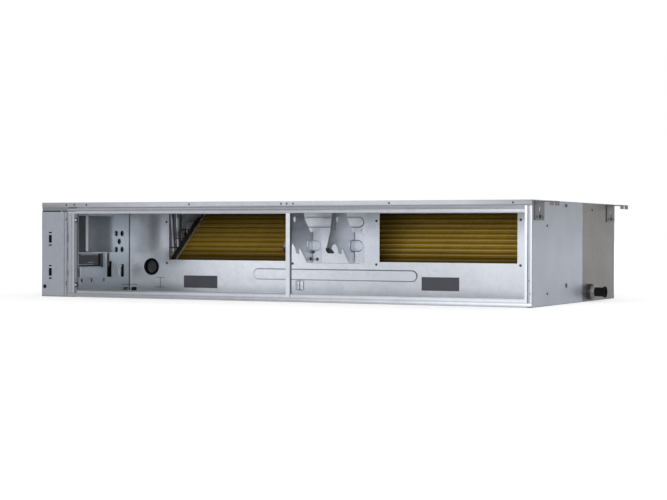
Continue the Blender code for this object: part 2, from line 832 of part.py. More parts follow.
def left_front_post():
    """A post with an upright groove in its face and a step back to the strip beside the wall."""
    corner = INNER_LEFT + GAP + SHEET
    groove = POST_EDGE + LEFT_POST_OUTER
    groove_end = groove + LEFT_POST_GROOVE[0]
    groove_floor = FRONT + LEFT_POST_GROOVE[1]
    step = LEFT - LEFT_POST_STEP[0]
    strip = FRONT + LEFT_POST_STEP[1]
    path = [
        (POST_EDGE, FRONT),
        (groove, FRONT),
        (groove, groove_floor),
        (groove_end, groove_floor),
        (groove_end, FRONT),
        (step, FRONT),
        (step, strip),
        (corner, strip),
        (corner, strip + LEFT_POST_RETURN),
    ]
    return extrude(folded(path, 1), "Z", LIP_BASE + GAP, RAIL_BOTTOM - GAP)


def centre_mullion():
    half = MULLION_W / 2
    path = [(-half, FRONT + MULLION_D), (-half, FRONT), (half, FRONT), (half, FRONT + MULLION_D)]
    post = extrude(folded(path, 1), "Z", LIP_BASE + GAP, RAIL_BOTTOM - GAP)
    return cut(post, block((-BIG, BIG), (FRONT + SHEET, BIG), (-BIG, LOWER_RAIL_TOP + GAP)))


def cradle_z(share):
    """A height on the cradle, as a share of the way from its foot to its top."""
    return CRADLE_FOOT + share * (CRADLE_TOP - CRADLE_FOOT)


def cradle_outline():
    """A motor cradle's side, as (distance in front of the deck, height), round from the root's foot."""
    tooth = MOTOR_REACH - SADDLE_R
    outline = [(0, CRADLE_FOOT), (CRADLE_HEEL * MOTOR_REACH, CRADLE_FOOT)]
    for reach, rise in (NOTCH_BACK, NOTCH):
        outline.append((tooth - reach, MOTOR_Z + rise))
    for share in TOOTH_EDGES:
        outline.append((tooth - share * TOOTH[0], MOTOR_Z - TOOTH[1]))
    outline += arc((MOTOR_REACH, MOTOR_Z), SADDLE_R, *SADDLE_TURN, 12)
    outline.append((CRADLE_FRONT, MOTOR_Z + SADDLE_TIP))
    for reach, rise in CRADLE_NOSE:
        outline.append((reach * CRADLE_FRONT, cradle_z(rise)))
    for reach, rise in CRADLE_NAPE:
        outline.append((reach * CRADLE_TOP_REACH, cradle_z(rise)))
    outline.append((0, CRADLE_ROOT_TOP))
    return outline


def jaw(grow=0.0):
    """The tongue at the cradle's front tip that carries the rubber pad, grown by a clearance."""
    places = (JAW_TOP, JAW_HEEL, JAW_TIP, JAW_POINT, JAW_SOLE, JAW_NOSE)
    growth = ((1, 1), (0, 0), (-1, 0), (-1, -1), (0, -1), (1, -1))
    outline = []
    for (back, rise), (along, up) in zip(places, growth):
        outline.append((CRADLE_FRONT - back + along * grow, MOTOR_Z + rise + up * grow))
    return outline


def pad_outline():
    """The rubber jaw's side, a few millimetres round the tongue."""
    nose = JAW_TOP[0]
    return [
        (CRADLE_FRONT, MOTOR_Z + 4 * nose),
        (CRADLE_FRONT - JAW_HEEL[0], MOTOR_Z + 2.67 * nose),
        (CRADLE_FRONT - JAW_TIP[0] - nose, MOTOR_Z + 0.5 * nose),
        (CRADLE_FRONT - JAW_POINT[0] - 0.33 * nose, MOTOR_Z - 0.17 * nose),
        (CRADLE_FRONT - JAW_SOLE[0] + 0.17 * nose, MOTOR_Z),
        (CRADLE_FRONT, MOTOR_Z + 2 * nose),
    ]


def from_deck(outline):
    """An outline of (distance in front of the deck, height) as (y, z), just clear of the deck."""
    return [(DECK - GAP - reach, z) for reach, z in outline]


def cradle_flange(root):
    """The flange that bolts a cradle to the deck, with its tab and its pressed gusset."""
    right = root + CRADLE_FLANGE_W
    left = root - CRADLE_T
    tab = root + CRADLE_TAB_W
    outline = [
        (left, CRADLE_FOOT),
        (right, CRADLE_FOOT),
        (right, CRADLE_ROOT_TOP - CRADLE_CORNER),
        (right - CRADLE_CORNER, CRADLE_ROOT_TOP),
        (tab, CRADLE_ROOT_TOP),
        (tab + CRADLE_TAB_SLOPE, CRADLE_ROOT_TOP + CRADLE_TAB_H),
        (left, CRADLE_ROOT_TOP + CRADLE_TAB_H),
    ]
    face = DECK - GAP - CRADLE_T
    flange = extrude(outline, "Y", face, DECK - GAP)
    centre = (root + CRADLE_FLANGE_W / 2, MOTOR_Z + GUSSET_RISE)
    bottom = obround(centre, *GUSSET, CRADLE_T / 2)
    boss = loft(bottom, obround(centre, *GUSSET), "Y", face + CRADLE_T / 2, face - CRADLE_T)
    return joined(flange, boss)


def motor_cradle(root):
    """A cradle plate with its saddle, tooth and holes, and the flange that bolts it to the deck."""
    sheet_xs = (root - CRADLE_T, root)
    plate = extrude(from_deck(cradle_outline()), "X", *sheet_xs)
    tongue = extrude(from_deck(jaw()), "X", *sheet_xs)
    front_edge = DECK - GAP - CRADLE_NOSE[-1][0] * CRADLE_FRONT
    hem_xs = (root - CRADLE_T / 2, root + CRADLE_HEM)
    hem = block(hem_xs, (front_edge, front_edge + CRADLE_T), (cradle_z(CRADLE_HEM_LOW), CRADLE_TOP))
    joined(plate, cradle_flange(root), tongue, hem)
    through = (root - 2 * CRADLE_T, root + CRADLE_T)
    deck_through = (DECK - GAP - 3 * CRADLE_T, DECK + SHEET)
    length, width, reach = STRAP_SLOT
    slot = []
    for first, second in obround((0, 0), length, width):
        slot.append((DECK - GAP - reach - second, cradle_z(STRAP_SLOT_SHARE) + first))
    screw_place = (DECK - GAP - PLATE_SCREW[0], CRADLE_FOOT + PLATE_SCREW[1])
    flange_place = (root + FLANGE_SCREW[0], CRADLE_FOOT + FLANGE_SCREW[1])
    hole_place = (root + FLANGE_HOLE[0], CRADLE_FOOT + FLANGE_HOLE[1])
    cutters = [
        rod("X", (DECK - GAP - ROD_HOLE[0], cradle_z(ROD_HOLE_SHARE)), ROD_HOLE[1], *through, sides=20),
        extrude(slot, "X", *through),
        rod("X", screw_place, CRADLE_SCREW_R, *through, sides=12),
        rod("Y", flange_place, CRADLE_SCREW_R, *deck_through, sides=12),
        rod("Y", hole_place, FLANGE_HOLE[2], *deck_through, sides=12),
    ]
    return cut(plate, *cutters)


def cradle_pad(root):
    """The rubber jaw on a cradle's tip, slotted to push on to the tongue."""
    middle = root - CRADLE_T / 2
    pad = extrude(from_deck(pad_outline()), "X", middle - PAD_T / 2, middle + PAD_T / 2)
    slot = extrude(from_deck(jaw(GAP)), "X", root - CRADLE_T - GAP, root + GAP)
    plate_path = extrude(from_deck(cradle_outline()), "X", root - CRADLE_T - GAP, root + GAP)
    return cut(pad, slot, plate_path)


def cable_trough():
    """The bent plate under the lower window that carries the cables along the wall."""
    wall = INNER_LEFT + GAP
    front = wall + TROUGH_DEPTH
    bottom, foot, top = TROUGH_Z
    path = [(wall, foot), (wall, bottom), (front, bottom), (front, top)]
    return extrude(folded(path, 1), "Y", *from_front(TROUGH_Y))


def cable_anchor():
    """A T-shaped tie anchor beside its slot."""
    low, high = ANCHOR_Z
    start, stop = before_deck(ANCHOR_BEFORE_DECK)
    middle = (start + stop) / 2
    half = ANCHOR_STEM / 2
    outline = [
        (start, high - ANCHOR_STEM),
        (middle - half, high - ANCHOR_STEM),
        (middle - half, low),
        (middle + half, low),
        (middle + half, high - ANCHOR_STEM),
        (stop, high - ANCHOR_STEM),
        (stop, high),
        (start, high),
    ]
    return extrude(outline, "X", INNER_LEFT + GAP, INNER_LEFT + GAP + ANCHOR_T)


def box_tray():
    """The fixed half of the electrical box: top, back and floor in one sheet, with two front strips."""
    face = FRONT + SHEET + GAP
    path = [(face, TRAY_FRONT_STRIP_Z), (face, CEILING), (TRAY_BACK, CEILING), (TRAY_BACK, 0), (face, 0)]
    left = BOX_LEFT + SHEET + GAP
    tray = extrude(folded(path, -1), "X", left, LEFT - GAP)
    strip = (COVER_EDGE - TRAY_STRIP_HIDDEN, COVER_EDGE + TRAY_STRIP_W)
    joined(tray, block(strip, (face, face + SHEET), (0, TRAY_FRONT_STRIP_Z + SHEET)))
    rail_end = (POST_EDGE - GAP, LEFT)
    return cut(tray, block(rail_end, (FRONT, face + SHEET + GAP), (RAIL_BOTTOM, CEILING - SHEET)))


def box_cover():
    """The cover that lifts off sideways: front face with its vents, outer side and rear return."""
    path = [(COVER_EDGE, FRONT), (BOX_LEFT, FRONT), (BOX_LEFT, BOX_REAR), (BOX_LEFT + COVER_RETURN, BOX_REAR)]
    cover = extrude(folded(path, -1), "Z", 0, CEILING)
    through = (FRONT - SHEET, FRONT + 2 * SHEET)
    above = (FRONT - SHEET, FRONT + SHEET + GAP)
    cutters = [block((BOX_LEFT - SHEET, COVER_EDGE + SHEET), above, (COVER_FACE_TOP, BIG))]
    xs = (BOX_LEFT + VENT_X - VENT_W / 2, BOX_LEFT + VENT_X + VENT_W / 2)
    for centre in VENT_CENTRES_Z:
        for offset, height in ((0, VENT_H), (-VENT_SLIT_STEP, VENT_SLIT_H), (VENT_SLIT_STEP, VENT_SLIT_H)):
            middle = centre + offset
            cutters.append(block(xs, through, (middle - height / 2, middle + height / 2)))
    cutters.append(rod("Y", (BOX_LEFT + CABLE_EYE_X, CABLE_EYE_Z), CABLE_EYE_R, *through, sides=20))
    return cut(cover, *cutters)


def box_divider():
    """The upright plate behind the wall's window, folded at both ends and screwed to the tray's back."""
    back = TRAY_BACK - 2 * SHEET - GAP
    front = DECK - DIVIDER_BEFORE_DECK
    outer = LEFT - DIVIDER_OUT
    path = [(outer + DIVIDER_FOLD, front), (outer, front), (outer, back), (outer + DIVIDER_FOOT, back)]
    return extrude(folded(path, 1), "Z", *DIVIDER_Z)


def board_part(size, start, low):
    """A component on the board: size is its height off the board, its length and its width up the board."""
    back = LEFT - GAP - BOARD_STANDOFF - BOARD_T / 2
    return block((back - size[0], back), (start, start + size[1]), (low, low + size[2]))


def control_board():
    """A circuit board on four pillars against the outer face of the left wall."""
    wall = LEFT - GAP
    face = wall - BOARD_STANDOFF
    ys = from_front(BOARD_Y)
    board = block((face - BOARD_T, face), ys, BOARD_Z)
    pillars = []
    for y in (ys[0] + BOARD_PILLAR_INSET, ys[1] - BOARD_PILLAR_INSET):
        for z in (BOARD_Z[0] + BOARD_PILLAR_INSET, BOARD_Z[1] - BOARD_PILLAR_INSET):
            pillars.append(rod("X", (y, z), BOARD_PILLAR_R, face - BOARD_T / 2, wall, sides=12))
    low = BOARD_Z[0] + PART_ABOVE_EDGE
    start = ys[0] + 2 * PART_SPACING
    after = start + TRANSFORMER[1] + PART_SPACING
    above = low + CHIP[2] + PART_SPACING
    parts = [board_part(TRANSFORMER, start, low), board_part(CHIP, after, low)]
    for index in range(2):
        parts.append(board_part(RELAY, after + index * RELAY_SPACING, above))
    return joined(board, *parts, *pillars)


def terminal_block():
    """A strip of screw terminals with walls between them, on the tray's back."""
    back = TRAY_BACK - SHEET - GAP
    start = BOX_LEFT + TERMINAL_X
    step = (TERMINAL_W - TERMINAL_RIB) / (TERMINAL_WALLS - 1)
    outline = [(start, back), (start + TERMINAL_W, back)]
    for index in reversed(range(TERMINAL_WALLS)):
        low = start + index * step
        high = low + TERMINAL_RIB
        tip = back - TERMINAL_BASE - TERMINAL_WALL
        root = back - TERMINAL_BASE
        outline += [(high, tip), (low, tip)] if index == 0 else [(high, tip), (low, tip), (low, root)]
        if index > 0:
            outline.append((start + (index - 1) * step + TERMINAL_RIB, root))
    return extrude(outline, "Z", *TERMINAL_Z)


def fan_capacitor():
    back = TRAY_BACK - SHEET - GAP
    centre = (BOX_LEFT + CAPACITOR_X + CAPACITOR_W / 2, back - CAPACITOR_T / 2)
    return extrude(obround(centre, CAPACITOR_W, CAPACITOR_T), "Z", *CAPACITOR_Z)


def hanger_lug(side, y):
    """A lug for a threaded rod: leg on the casing's side, slotted flange and a folded lip."""
    wall = RIGHT + GAP
    tip = wall + LUG_REACH
    path = [(wall, LUG_TOP - LUG_LEG), (wall, LUG_TOP), (tip, LUG_TOP), (tip, LUG_TOP - LUG_LIP)]
    if side < 0:
        path = [(-x, z) for x, z in path]
    lug = extrude(folded(path, -side, LUG_T), "Y", y - LUG_W / 2, y + LUG_W / 2)
    half = LUG_SLOT_W / 2
    slot_centre = side * (wall + LUG_SLOT_START + half)
    slot_xs = sorted((slot_centre, side * (tip + BIG)))
    leg_xs = sorted((side * (wall - LUG_T), side * (wall + 2 * LUG_T)))
    key = []
    for first, second in obround((0, 0), LUG_KEY_H, LUG_KEY_W):
        key.append((y + second, LUG_TOP - LUG_KEY_DROP + first))
    cutters = [
        block(slot_xs, (y - half, y + half), (LUG_TOP - BIG, LUG_TOP + BIG)),
        rod("Z", (slot_centre, y), half, LUG_TOP - 2 * LUG_T, LUG_TOP + LUG_T),
        extrude(key, "X", *leg_xs),
    ]
    for offset in (-LUG_HOLE_Y, LUG_HOLE_Y):
        cutters.append(rod("X", (y + offset, LUG_TOP - LUG_HOLE_DROP), LUG_HOLE_R, *leg_xs, sides=12))
    return cut(lug, *cutters)


def coil_point(along, through):
    """The (y, z) of a place on the coil: along the slant from its foot, and through from its front face."""
    y = DECK + COIL_FOOT_BEHIND_DECK + along * math.sin(COIL_LEAN) + through * math.cos(COIL_LEAN)
    z = COIL_FOOT_Z + along * math.cos(COIL_LEAN) - through * math.sin(COIL_LEAN)
    return (y, z)


def tube_place(row, index):
    """The centre of a tube: row 0 is the front one, and row 1 is staggered by half a pitch."""
    along = (index + 0.25 + 0.5 * row) * COIL_PITCH
    return coil_point(along, (row + 0.5) * COIL_ROW)


def coil_fins():
    """The fin pack, whose edges stand up in a low ridge between each two tubes."""
    front = []
    back = []
    for index in range(COIL_TUBES):
        start = index * COIL_PITCH
        for share, ridge in ((0.0, COIL_RIDGE), (0.22, 0.0), (0.78, 0.0)):
            front.append(coil_point(start + share * COIL_PITCH, -ridge))
            back.append(coil_point(start + share * COIL_PITCH, COIL_T + ridge))
    front.append(coil_point(COIL_LEN, -COIL_RIDGE))
    back.append(coil_point(COIL_LEN, COIL_T + COIL_RIDGE))
    return extrude(front + back[::-1], "X", COIL_LEFT + GAP, COIL_RIGHT - GAP)


def return_bend(start, stop, plate, outwards):
    """A U-bend between two tube ends on an end plate."""
    first = Vector((plate, *start))
    last = Vector((plate, *stop))
    out = Vector((outwards, 0, 0))
    middle = (first + last) / 2 + out * BEND_LEG
    radius = (last - first).length / 2
    across = (first - last).normalized()
    path = [first]
    steps = 6
    for index in range(steps + 1):
        turn = math.pi * index / steps
        path.append(middle + across * radius * math.cos(turn) + out * radius * math.sin(turn))
    path.append(last)
    return pipe(path, TUBE_R, sides=8)


def coil_end_plate(face, outwards, bends):
    """An end plate with its foot in the drain pan, and the return bends brazed into it."""
    low = -END_PLATE_MARGIN - COIL_RIDGE
    high = COIL_T + END_PLATE_MARGIN + COIL_RIDGE
    corners = ((-END_PLATE_MARGIN, low), (COIL_LEN + END_PLATE_MARGIN, low))
    corners += ((COIL_LEN + END_PLATE_MARGIN, high), (-END_PLATE_MARGIN, high))
    xs = sorted((face, face + outwards * END_PLATE_T))
    plate = extrude([coil_point(*corner) for corner in corners], "X", *xs)
    heel = coil_point(-END_PLATE_MARGIN, high)[0]
    foot_ys = (heel - END_PLATE_FOOT_W / 2, heel + END_PLATE_FOOT_W / 2)
    foot = block(xs, foot_ys, (PAN_FLOOR_TOP + GAP, COIL_FOOT_Z))
    middle = face + outwards * END_PLATE_T / 2
    tubes = [return_bend(tube_place(*one), tube_place(*other), middle, outwards) for one, other in bends]
    return joined(plate, foot, *tubes)


def left_bends():
    return [((0, index), (1, index)) for index in range(1, COIL_TUBES, 2)]


def right_bends():
    return [((row, index), (row, index + 1)) for row in range(2) for index in range(0, COIL_TUBES, 2)]


def flared_end(radius, centre):
    """The flare that traps a nut at a stub's end."""
    outer = circle(centre, radius + FLARE_GROW, 20)
    return loft(outer, circle(centre, radius - GAP, 20), "X", STUB_END, STUB_END + FLARE_L)


def stub_bore(radius, centre):
    return rod("X", centre, radius - PIPE_WALL, STUB_END - SHEET, STUB_END + STUB_BORE, sides=16)


def gas_pipe():
    """The header along the coil's rear row, and the line from it out through the left panel."""
    plate = COIL_LEFT - END_PLATE_T
    x = plate - HEADER_OFF
    low = coil_point(-HEADER_END, 1.5 * COIL_ROW)
    high = coil_point(COIL_LEN + HEADER_END, 1.5 * COIL_ROW)
    route = [(x, *low), (x, *high), (x, *GAS_EXIT), (STUB_END + FLARE_L / 2, *GAS_EXIT)]
    line = pipe(rounded(route, GAS_BEND, steps=5), GAS_PIPE_R, sides=16)
    stubs = []
    for index in range(0, COIL_TUBES, 2):
        place = tube_place(1, index)
        stubs.append(rod("X", place, TUBE_R, x, plate - GAP, sides=8))
    joined(line, flared_end(GAS_PIPE_R, GAS_EXIT), *stubs)
    return cut(line, stub_bore(GAS_PIPE_R, GAS_EXIT))


def liquid_pipe():
    """The distributor with a capillary to each circuit, and the line from it out through the left panel."""
    plate = COIL_LEFT - END_PLATE_T
    x = plate - CAPILLARY_OFF
    exit_z = LIQUID_EXIT_Z
    head = PIPES_Y - DISTRIBUTOR_BEFORE_EXIT
    route = [(STUB_END + FLARE_L / 2, *LIQUID_EXIT), (x, *LIQUID_EXIT), (x, head + DISTRIBUTOR_L / 2, exit_z)]
    line = pipe(rounded(route, LIQUID_BEND, steps=5), LIQUID_PIPE_R, sides=14)
    centre = (x, exit_z)
    neck = circle(centre, LIQUID_PIPE_R * 1.1, 14)
    cone = loft(circle(centre, DISTRIBUTOR_R, 14), neck, "Y", head, head + DISTRIBUTOR_L)
    capillaries = []
    for circuit in range(COIL_CIRCUITS):
        turn = 2 * math.pi * circuit / COIL_CIRCUITS
        start_x = x + math.cos(turn) * DISTRIBUTOR_R * 0.6
        start_z = exit_z + math.sin(turn) * DISTRIBUTOR_R * 0.6
        y, z = tube_place(0, 2 * circuit)
        route = [(start_x, head + CAPILLARY_START, start_z), (start_x, head - CAPILLARY_LEAD, start_z)]
        route += [(start_x, y, z), (plate - GAP, y, z)]
        capillaries.append(pipe(rounded(route, CAPILLARY_BEND, steps=3), CAPILLARY_R, sides=6))
    joined(line, flared_end(LIQUID_PIPE_R, LIQUID_EXIT), cone, *capillaries)
    return cut(line, stub_bore(LIQUID_PIPE_R, LIQUID_EXIT))


def flare_nut(centre, pipe_radius, radius, length):
    """A hexagon nut on a stub, just behind its flare."""
    corners = circle(centre, radius, 6)
    outer = []
    for corner, following in zip(corners, corners[1:] + corners[:1]):
        for share in (0.0, 0.25, 0.5, 0.75):
            outer.append(tuple(Vector(corner).lerp(Vector(following), share)))
    inner = circle(centre, pipe_radius + NUT_CLEAR, 24)
    start = STUB_END + FLARE_L + NUT_CLEAR
    return ring_of(outer, inner, "X", start, start + length)


def pipe_seal(centre, radius):
    return grommet("X", centre, radius + GAP, SEAL_WALL - GAP, SEAL_RIM, LEFT, INNER_LEFT)


def drain_pan():
    """The moulded tray under the coil, with a spout through the right panel."""
    xs = (INNER_LEFT + GAP, INNER_RIGHT - GAP)
    ys = (PAN_FRONT, PAN_FRONT + PAN_D)
    zs = (INNER_FLOOR, INNER_FLOOR + PAN_H)
    pan = block(xs, ys, zs)
    spout_end = RIGHT + SPOUT_OUT
    joined(pan, rod("X", (DRAIN_Y, DRAIN_Z), SPOUT_R, xs[1] - PAN_WALL, spout_end))
    hollow = block((xs[0] + PAN_WALL, xs[1] - PAN_WALL), grown(ys, -PAN_WALL), (PAN_FLOOR_TOP, BIG))
    bore = rod("X", (DRAIN_Y, DRAIN_Z), SPOUT_BORE_R, xs[1] - 2 * PAN_WALL, spout_end + SHEET)
    return cut(pan, hollow, bore)


def drain_collar():
    """The ring that backs the sleeve against the panel: a wide washer and a narrower nut in one."""
    start = RIGHT + GAP
    step = start + COLLAR_STEP
    end = start + COLLAR_L
    bore = SPOUT_R + GAP
    profile = [
        (bore, start),
        (COLLAR_R, start),
        (COLLAR_R, step),
        (COLLAR_NUT_R, step),
        (COLLAR_NUT_R, end - COLLAR_EDGE),
        (COLLAR_NUT_R - COLLAR_EDGE, end),
        (bore, end),
    ]
    return turned(profile, "X", (DRAIN_Y, DRAIN_Z))


def drain_sleeve():
    """The rubber sleeve on the spout, flared at its open end."""
    start = RIGHT + 2 * GAP + COLLAR_L
    end = RIGHT + SLEEVE_END
    bore = SPOUT_R + GAP
    profile = [
        (bore, start),
        (SLEEVE_R, start),
        (SLEEVE_R, end - SLEEVE_FLARE),
        (SLEEVE_END_R, end - SLEEVE_FLARE * 0.4),
        (SLEEVE_END_R, end),
        (bore + SLEEVE_END_R - SLEEVE_R, end),
        (bore, end - SLEEVE_FLARE),
    ]
    return turned(profile, "X", (DRAIN_Y, DRAIN_Z))


def top_foam():
    """The foam sheet under the top panel, over the coil chamber."""
    inset = FLANGE + FOAM_MARGIN
    ys = (DECK + FLANGE + FOAM_MARGIN, WALL_END - REAR_FRAME_FOLD - FOAM_MARGIN)
    return block((LEFT + inset, RIGHT - inset), ys, (FOAM_TOP - FOAM_T, FOAM_TOP))


def side_foam():
    """The foam on the coil chamber's left side: a low strip over the pan, and full height at the pipes."""
    low = INNER_FLOOR + PAN_H + GAP
    high = low + SIDE_FOAM_HIGH
    top = INNER_CEILING - GAP
    rear = WALL_END - REAR_FRAME_FOLD - FOAM_MARGIN
    middle = PIPES_Y - SIDE_FOAM_BEFORE_PIPES
    outline = [(PAN_FRONT, low), (rear, low), (rear, top), (middle, top), (middle, high), (PAN_FRONT, high)]
    start = INNER_LEFT + GAP
    foam = extrude(outline, "X", start, start + SIDE_FOAM_T)
    through = (INNER_LEFT - SHEET, INNER_LEFT + 3 * SIDE_FOAM_T)
    holes = []
    for place, radius in ((GAS_EXIT, GAS_PIPE_R), (LIQUID_EXIT, LIQUID_PIPE_R)):
        holes.append(rod("X", place, radius + SEAL_WALL + SEAL_RIM / 2 + SIDE_FOAM_CLEAR, *through))
    return cut(foam, *holes)


def build():
    clear_scene()
    unit = group("unit")
    casing = group("casing", unit)
    box = group("electrical_box", unit)
    coil = group("coil", unit)
    drain = group("drain", unit)
    zinc = galvanised("galvanised_sheet")
    rear_zinc = material("galvanised_rear_sheet", (0.47, 0.46, 0.43), 0.4, 0.85)
    pipe_copper = copper("copper_tube")
    rubber = black_rubber("black_rubber")
    brass = material("brass", (0.78, 0.6, 0.3), 0.3, 1.0)
    plastic = material("grey_plastic", (0.32, 0.33, 0.34), 0.5)

    finish(top_panel(), "top_panel", zinc, casing)
    finish(base_panel(), "base_panel", zinc, casing)
    finish(bay_floor_panel(), "bay_floor_panel", zinc, casing)
    finish(side_channel(1, WALL_START, SPLIT - GAP / 2), "right_side_panel", zinc, casing)
    finish(right_rear_panel(), "right_rear_panel", rear_zinc, casing)
    finish(left_side_wall(), "left_side_wall", zinc, casing)
    finish(left_rear_panel(), "left_rear_panel", zinc, casing)
    finish(rear_frame(), "rear_frame", zinc, casing)
    finish(discharge_collar(), "discharge_collar", zinc, casing)
    finish(fan_deck(), "fan_deck", zinc, casing)
    finish(front_top_rail(), "front_top_rail", zinc, casing)
    finish(front_bottom_rail(), "front_bottom_rail", zinc, casing)
    finish(right_front_post(), "right_front_post", zinc, casing)
    finish(left_front_post(), "left_front_post", zinc, casing)
    finish(centre_mullion(), "centre_mullion", zinc, casing)
    finish(cable_trough(), "cable_trough", zinc, casing)
    finish(cable_anchor(), "cable_anchor", plastic, casing)
    finish(cable_grommet(), "cable_grommet", rubber, casing)
    finish(harness_clip(), "harness_clip", zinc, casing)
    foam = material("black_foam", (0.03, 0.03, 0.032), 0.9)
    finish(top_foam(), "top_foam", foam, casing)
    finish(side_foam(), "side_foam", foam, casing)
    rear_lug = REAR - LUG_FROM_REAR
    lugs = (("front_right", 1, FRONT + LUG_FRONT_RIGHT), ("rear_right", 1, rear_lug))
    lugs += (("front_left", -1, BOX_REAR + LUG_BEHIND_BOX), ("rear_left", -1, rear_lug))
    for name, side, y in lugs:
        finish(hanger_lug(side, y), "hanger_" + name, zinc, casing)
    for name, root in (("left", -CRADLE_X), ("right", CRADLE_X)):
        finish(motor_cradle(root), "motor_cradle_" + name, zinc, casing)
        finish(cradle_pad(root), "cradle_pad_" + name, rubber, casing)

    finish(box_tray(), "box_tray", zinc, box)
    finish(box_cover(), "box_cover", zinc, box)
    finish(box_divider(), "box_divider", zinc, box)
    board = material("circuit_board", (0.05, 0.22, 0.1), 0.5)
    finish(control_board(), "control_board", board, box)
    cream = material("cream_plastic", (0.75, 0.72, 0.6), 0.5)
    finish(terminal_block(), "terminal_block", cream, box)
    finish(fan_capacitor(), "fan_capacitor", plastic, box)

    gold = material("gold_fins", (0.55, 0.4, 0.08), 0.4, 0.7)
    finish(coil_fins(), "coil_fins", gold, coil)
    finish(coil_end_plate(COIL_LEFT, -1, left_bends()), "coil_end_plate_left", zinc, coil)
    finish(coil_end_plate(COIL_RIGHT, 1, right_bends()), "coil_end_plate_right", zinc, coil)
    finish(gas_pipe(), "gas_pipe", pipe_copper, coil)
    finish(liquid_pipe(), "liquid_pipe", pipe_copper, coil)
    finish(pipe_seal(GAS_EXIT, GAS_PIPE_R), "gas_pipe_seal", rubber, coil)
    finish(pipe_seal(LIQUID_EXIT, LIQUID_PIPE_R), "liquid_pipe_seal", rubber, coil)
    nut = flare_nut(GAS_EXIT, GAS_PIPE_R, GAS_NUT_R, GAS_NUT_L)
    finish(nut, "gas_flare_nut", brass, coil, (STUB_END, *GAS_EXIT))
    nut = flare_nut(LIQUID_EXIT, LIQUID_PIPE_R, LIQUID_NUT_R, LIQUID_NUT_L)
    finish(nut, "liquid_flare_nut", brass, coil, (STUB_END, *LIQUID_EXIT))

    finish(drain_pan(), "drain_pan", foam, drain)
    finish(drain_collar(), "drain_collar", plastic, drain)
    finish(drain_sleeve(), "drain_sleeve", rubber, drain, (RIGHT, DRAIN_Y, DRAIN_Z))


build()
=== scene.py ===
"""The looks of the ducted air conditioner: procedural materials, fins, fasteners, studio and camera."""

import json
import math

import bmesh
import bpy
from mathutils import Matrix, Vector

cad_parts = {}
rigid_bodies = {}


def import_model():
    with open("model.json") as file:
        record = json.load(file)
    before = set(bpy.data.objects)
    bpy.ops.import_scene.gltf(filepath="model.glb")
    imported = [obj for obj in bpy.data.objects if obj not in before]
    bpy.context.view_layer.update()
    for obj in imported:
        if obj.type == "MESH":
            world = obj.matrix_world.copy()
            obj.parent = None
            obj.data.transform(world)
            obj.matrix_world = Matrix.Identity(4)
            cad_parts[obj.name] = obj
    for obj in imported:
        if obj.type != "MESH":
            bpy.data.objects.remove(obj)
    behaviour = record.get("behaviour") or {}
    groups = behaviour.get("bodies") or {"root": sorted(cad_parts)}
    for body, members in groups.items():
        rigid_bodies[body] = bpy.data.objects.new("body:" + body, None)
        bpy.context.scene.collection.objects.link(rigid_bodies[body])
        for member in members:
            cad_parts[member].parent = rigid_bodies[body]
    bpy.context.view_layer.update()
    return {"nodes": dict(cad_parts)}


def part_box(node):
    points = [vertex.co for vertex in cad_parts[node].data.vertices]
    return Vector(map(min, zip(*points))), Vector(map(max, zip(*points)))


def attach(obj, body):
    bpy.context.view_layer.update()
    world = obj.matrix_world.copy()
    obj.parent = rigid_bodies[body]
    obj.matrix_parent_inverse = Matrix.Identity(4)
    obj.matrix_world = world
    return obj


# Places from the part, in metres
RIGHT = 0.5335
LEFT = -0.5335
FRONT = -0.2775
REAR = 0.2775
DECK = -0.0615
BOX_LEFT = -0.6235
BOARD_FACE = -0.5414
CHAMBER_FACE = -0.5324
CRADLE_SIDE = 0.0513
CRADLE_FLANGE = -0.0633
CRADLE_PLATE = -0.0655
CRADLE_HEM = -0.12
COIL_LEAN = math.radians(50.9)
COIL_PITCH = 0.017192
COIL_TUBES = 14
COIL_LEFT = -0.4465
COIL_RIGHT = 0.5085
COIL_FOOT = (-0.032, 0.046)
LUGS = ("front_right", "rear_right", "front_left", "rear_left")

# The depths of thin strips along X, from behind the left inner wall out to its face
BEHIND_WALL = (-0.5378, -0.5370)
DEEP_IN_WINDOW = (-0.5356, -0.5350)
IN_WINDOW = (-0.5348, -0.5342)
ON_WALL = (-0.5325, -0.5320)

# Directions that heads and pins face
TO_RIGHT = (1, 0, 0)
TO_LEFT = (-1, 0, 0)
TO_FRONT = (0, -1, 0)
TO_REAR = (0, 1, 0)

# Fasteners: x on the lip, (x, z) on the deck, (y from the front, z) on the right side, (y, z) on the left
LIP_SCREWS = (-0.558, -0.5364, -0.5043, -0.2395, -0.0164, -0.003, 0.0118, 0.2301, 0.4943)
DECK_SCREWS = (
    (-0.4309, 0.1684), (-0.4296, 0.0736), (-0.1016, 0.0760), (0.1033, 0.1705),
    (0.1032, 0.0761), (0.4332, 0.1729), (0.4332, 0.0778),
)
SIDE_SCREWS = ((0.0910, 0.1598), (0.0930, 0.0244), (0.2100, 0.2017), (0.2126, 0.0348), (0.3896, 0.1954))
JOINT_SCREWS = ((0.2126, 0.0385), (0.2100, 0.2017))
LEFT_SCREWS = ((0.075, 0.035), (0.075, 0.190), (0.255, 0.035), (0.255, 0.190), (0.030, 0.030))

# Dark marks in the joint between the left post and the box: x, z, width, height
JOINT_MARKS = (
    (-0.5584, 0.1722, 0.0030, 0.006), (-0.5559, 0.1555, 0.0022, 0.018), (-0.5541, 0.1310, 0.0018, 0.020),
    (-0.5544, 0.0530, 0.0022, 0.012), (-0.5581, 0.0307, 0.0030, 0.010), (-0.5552, 0.0950, 0.0014, 0.030),
)

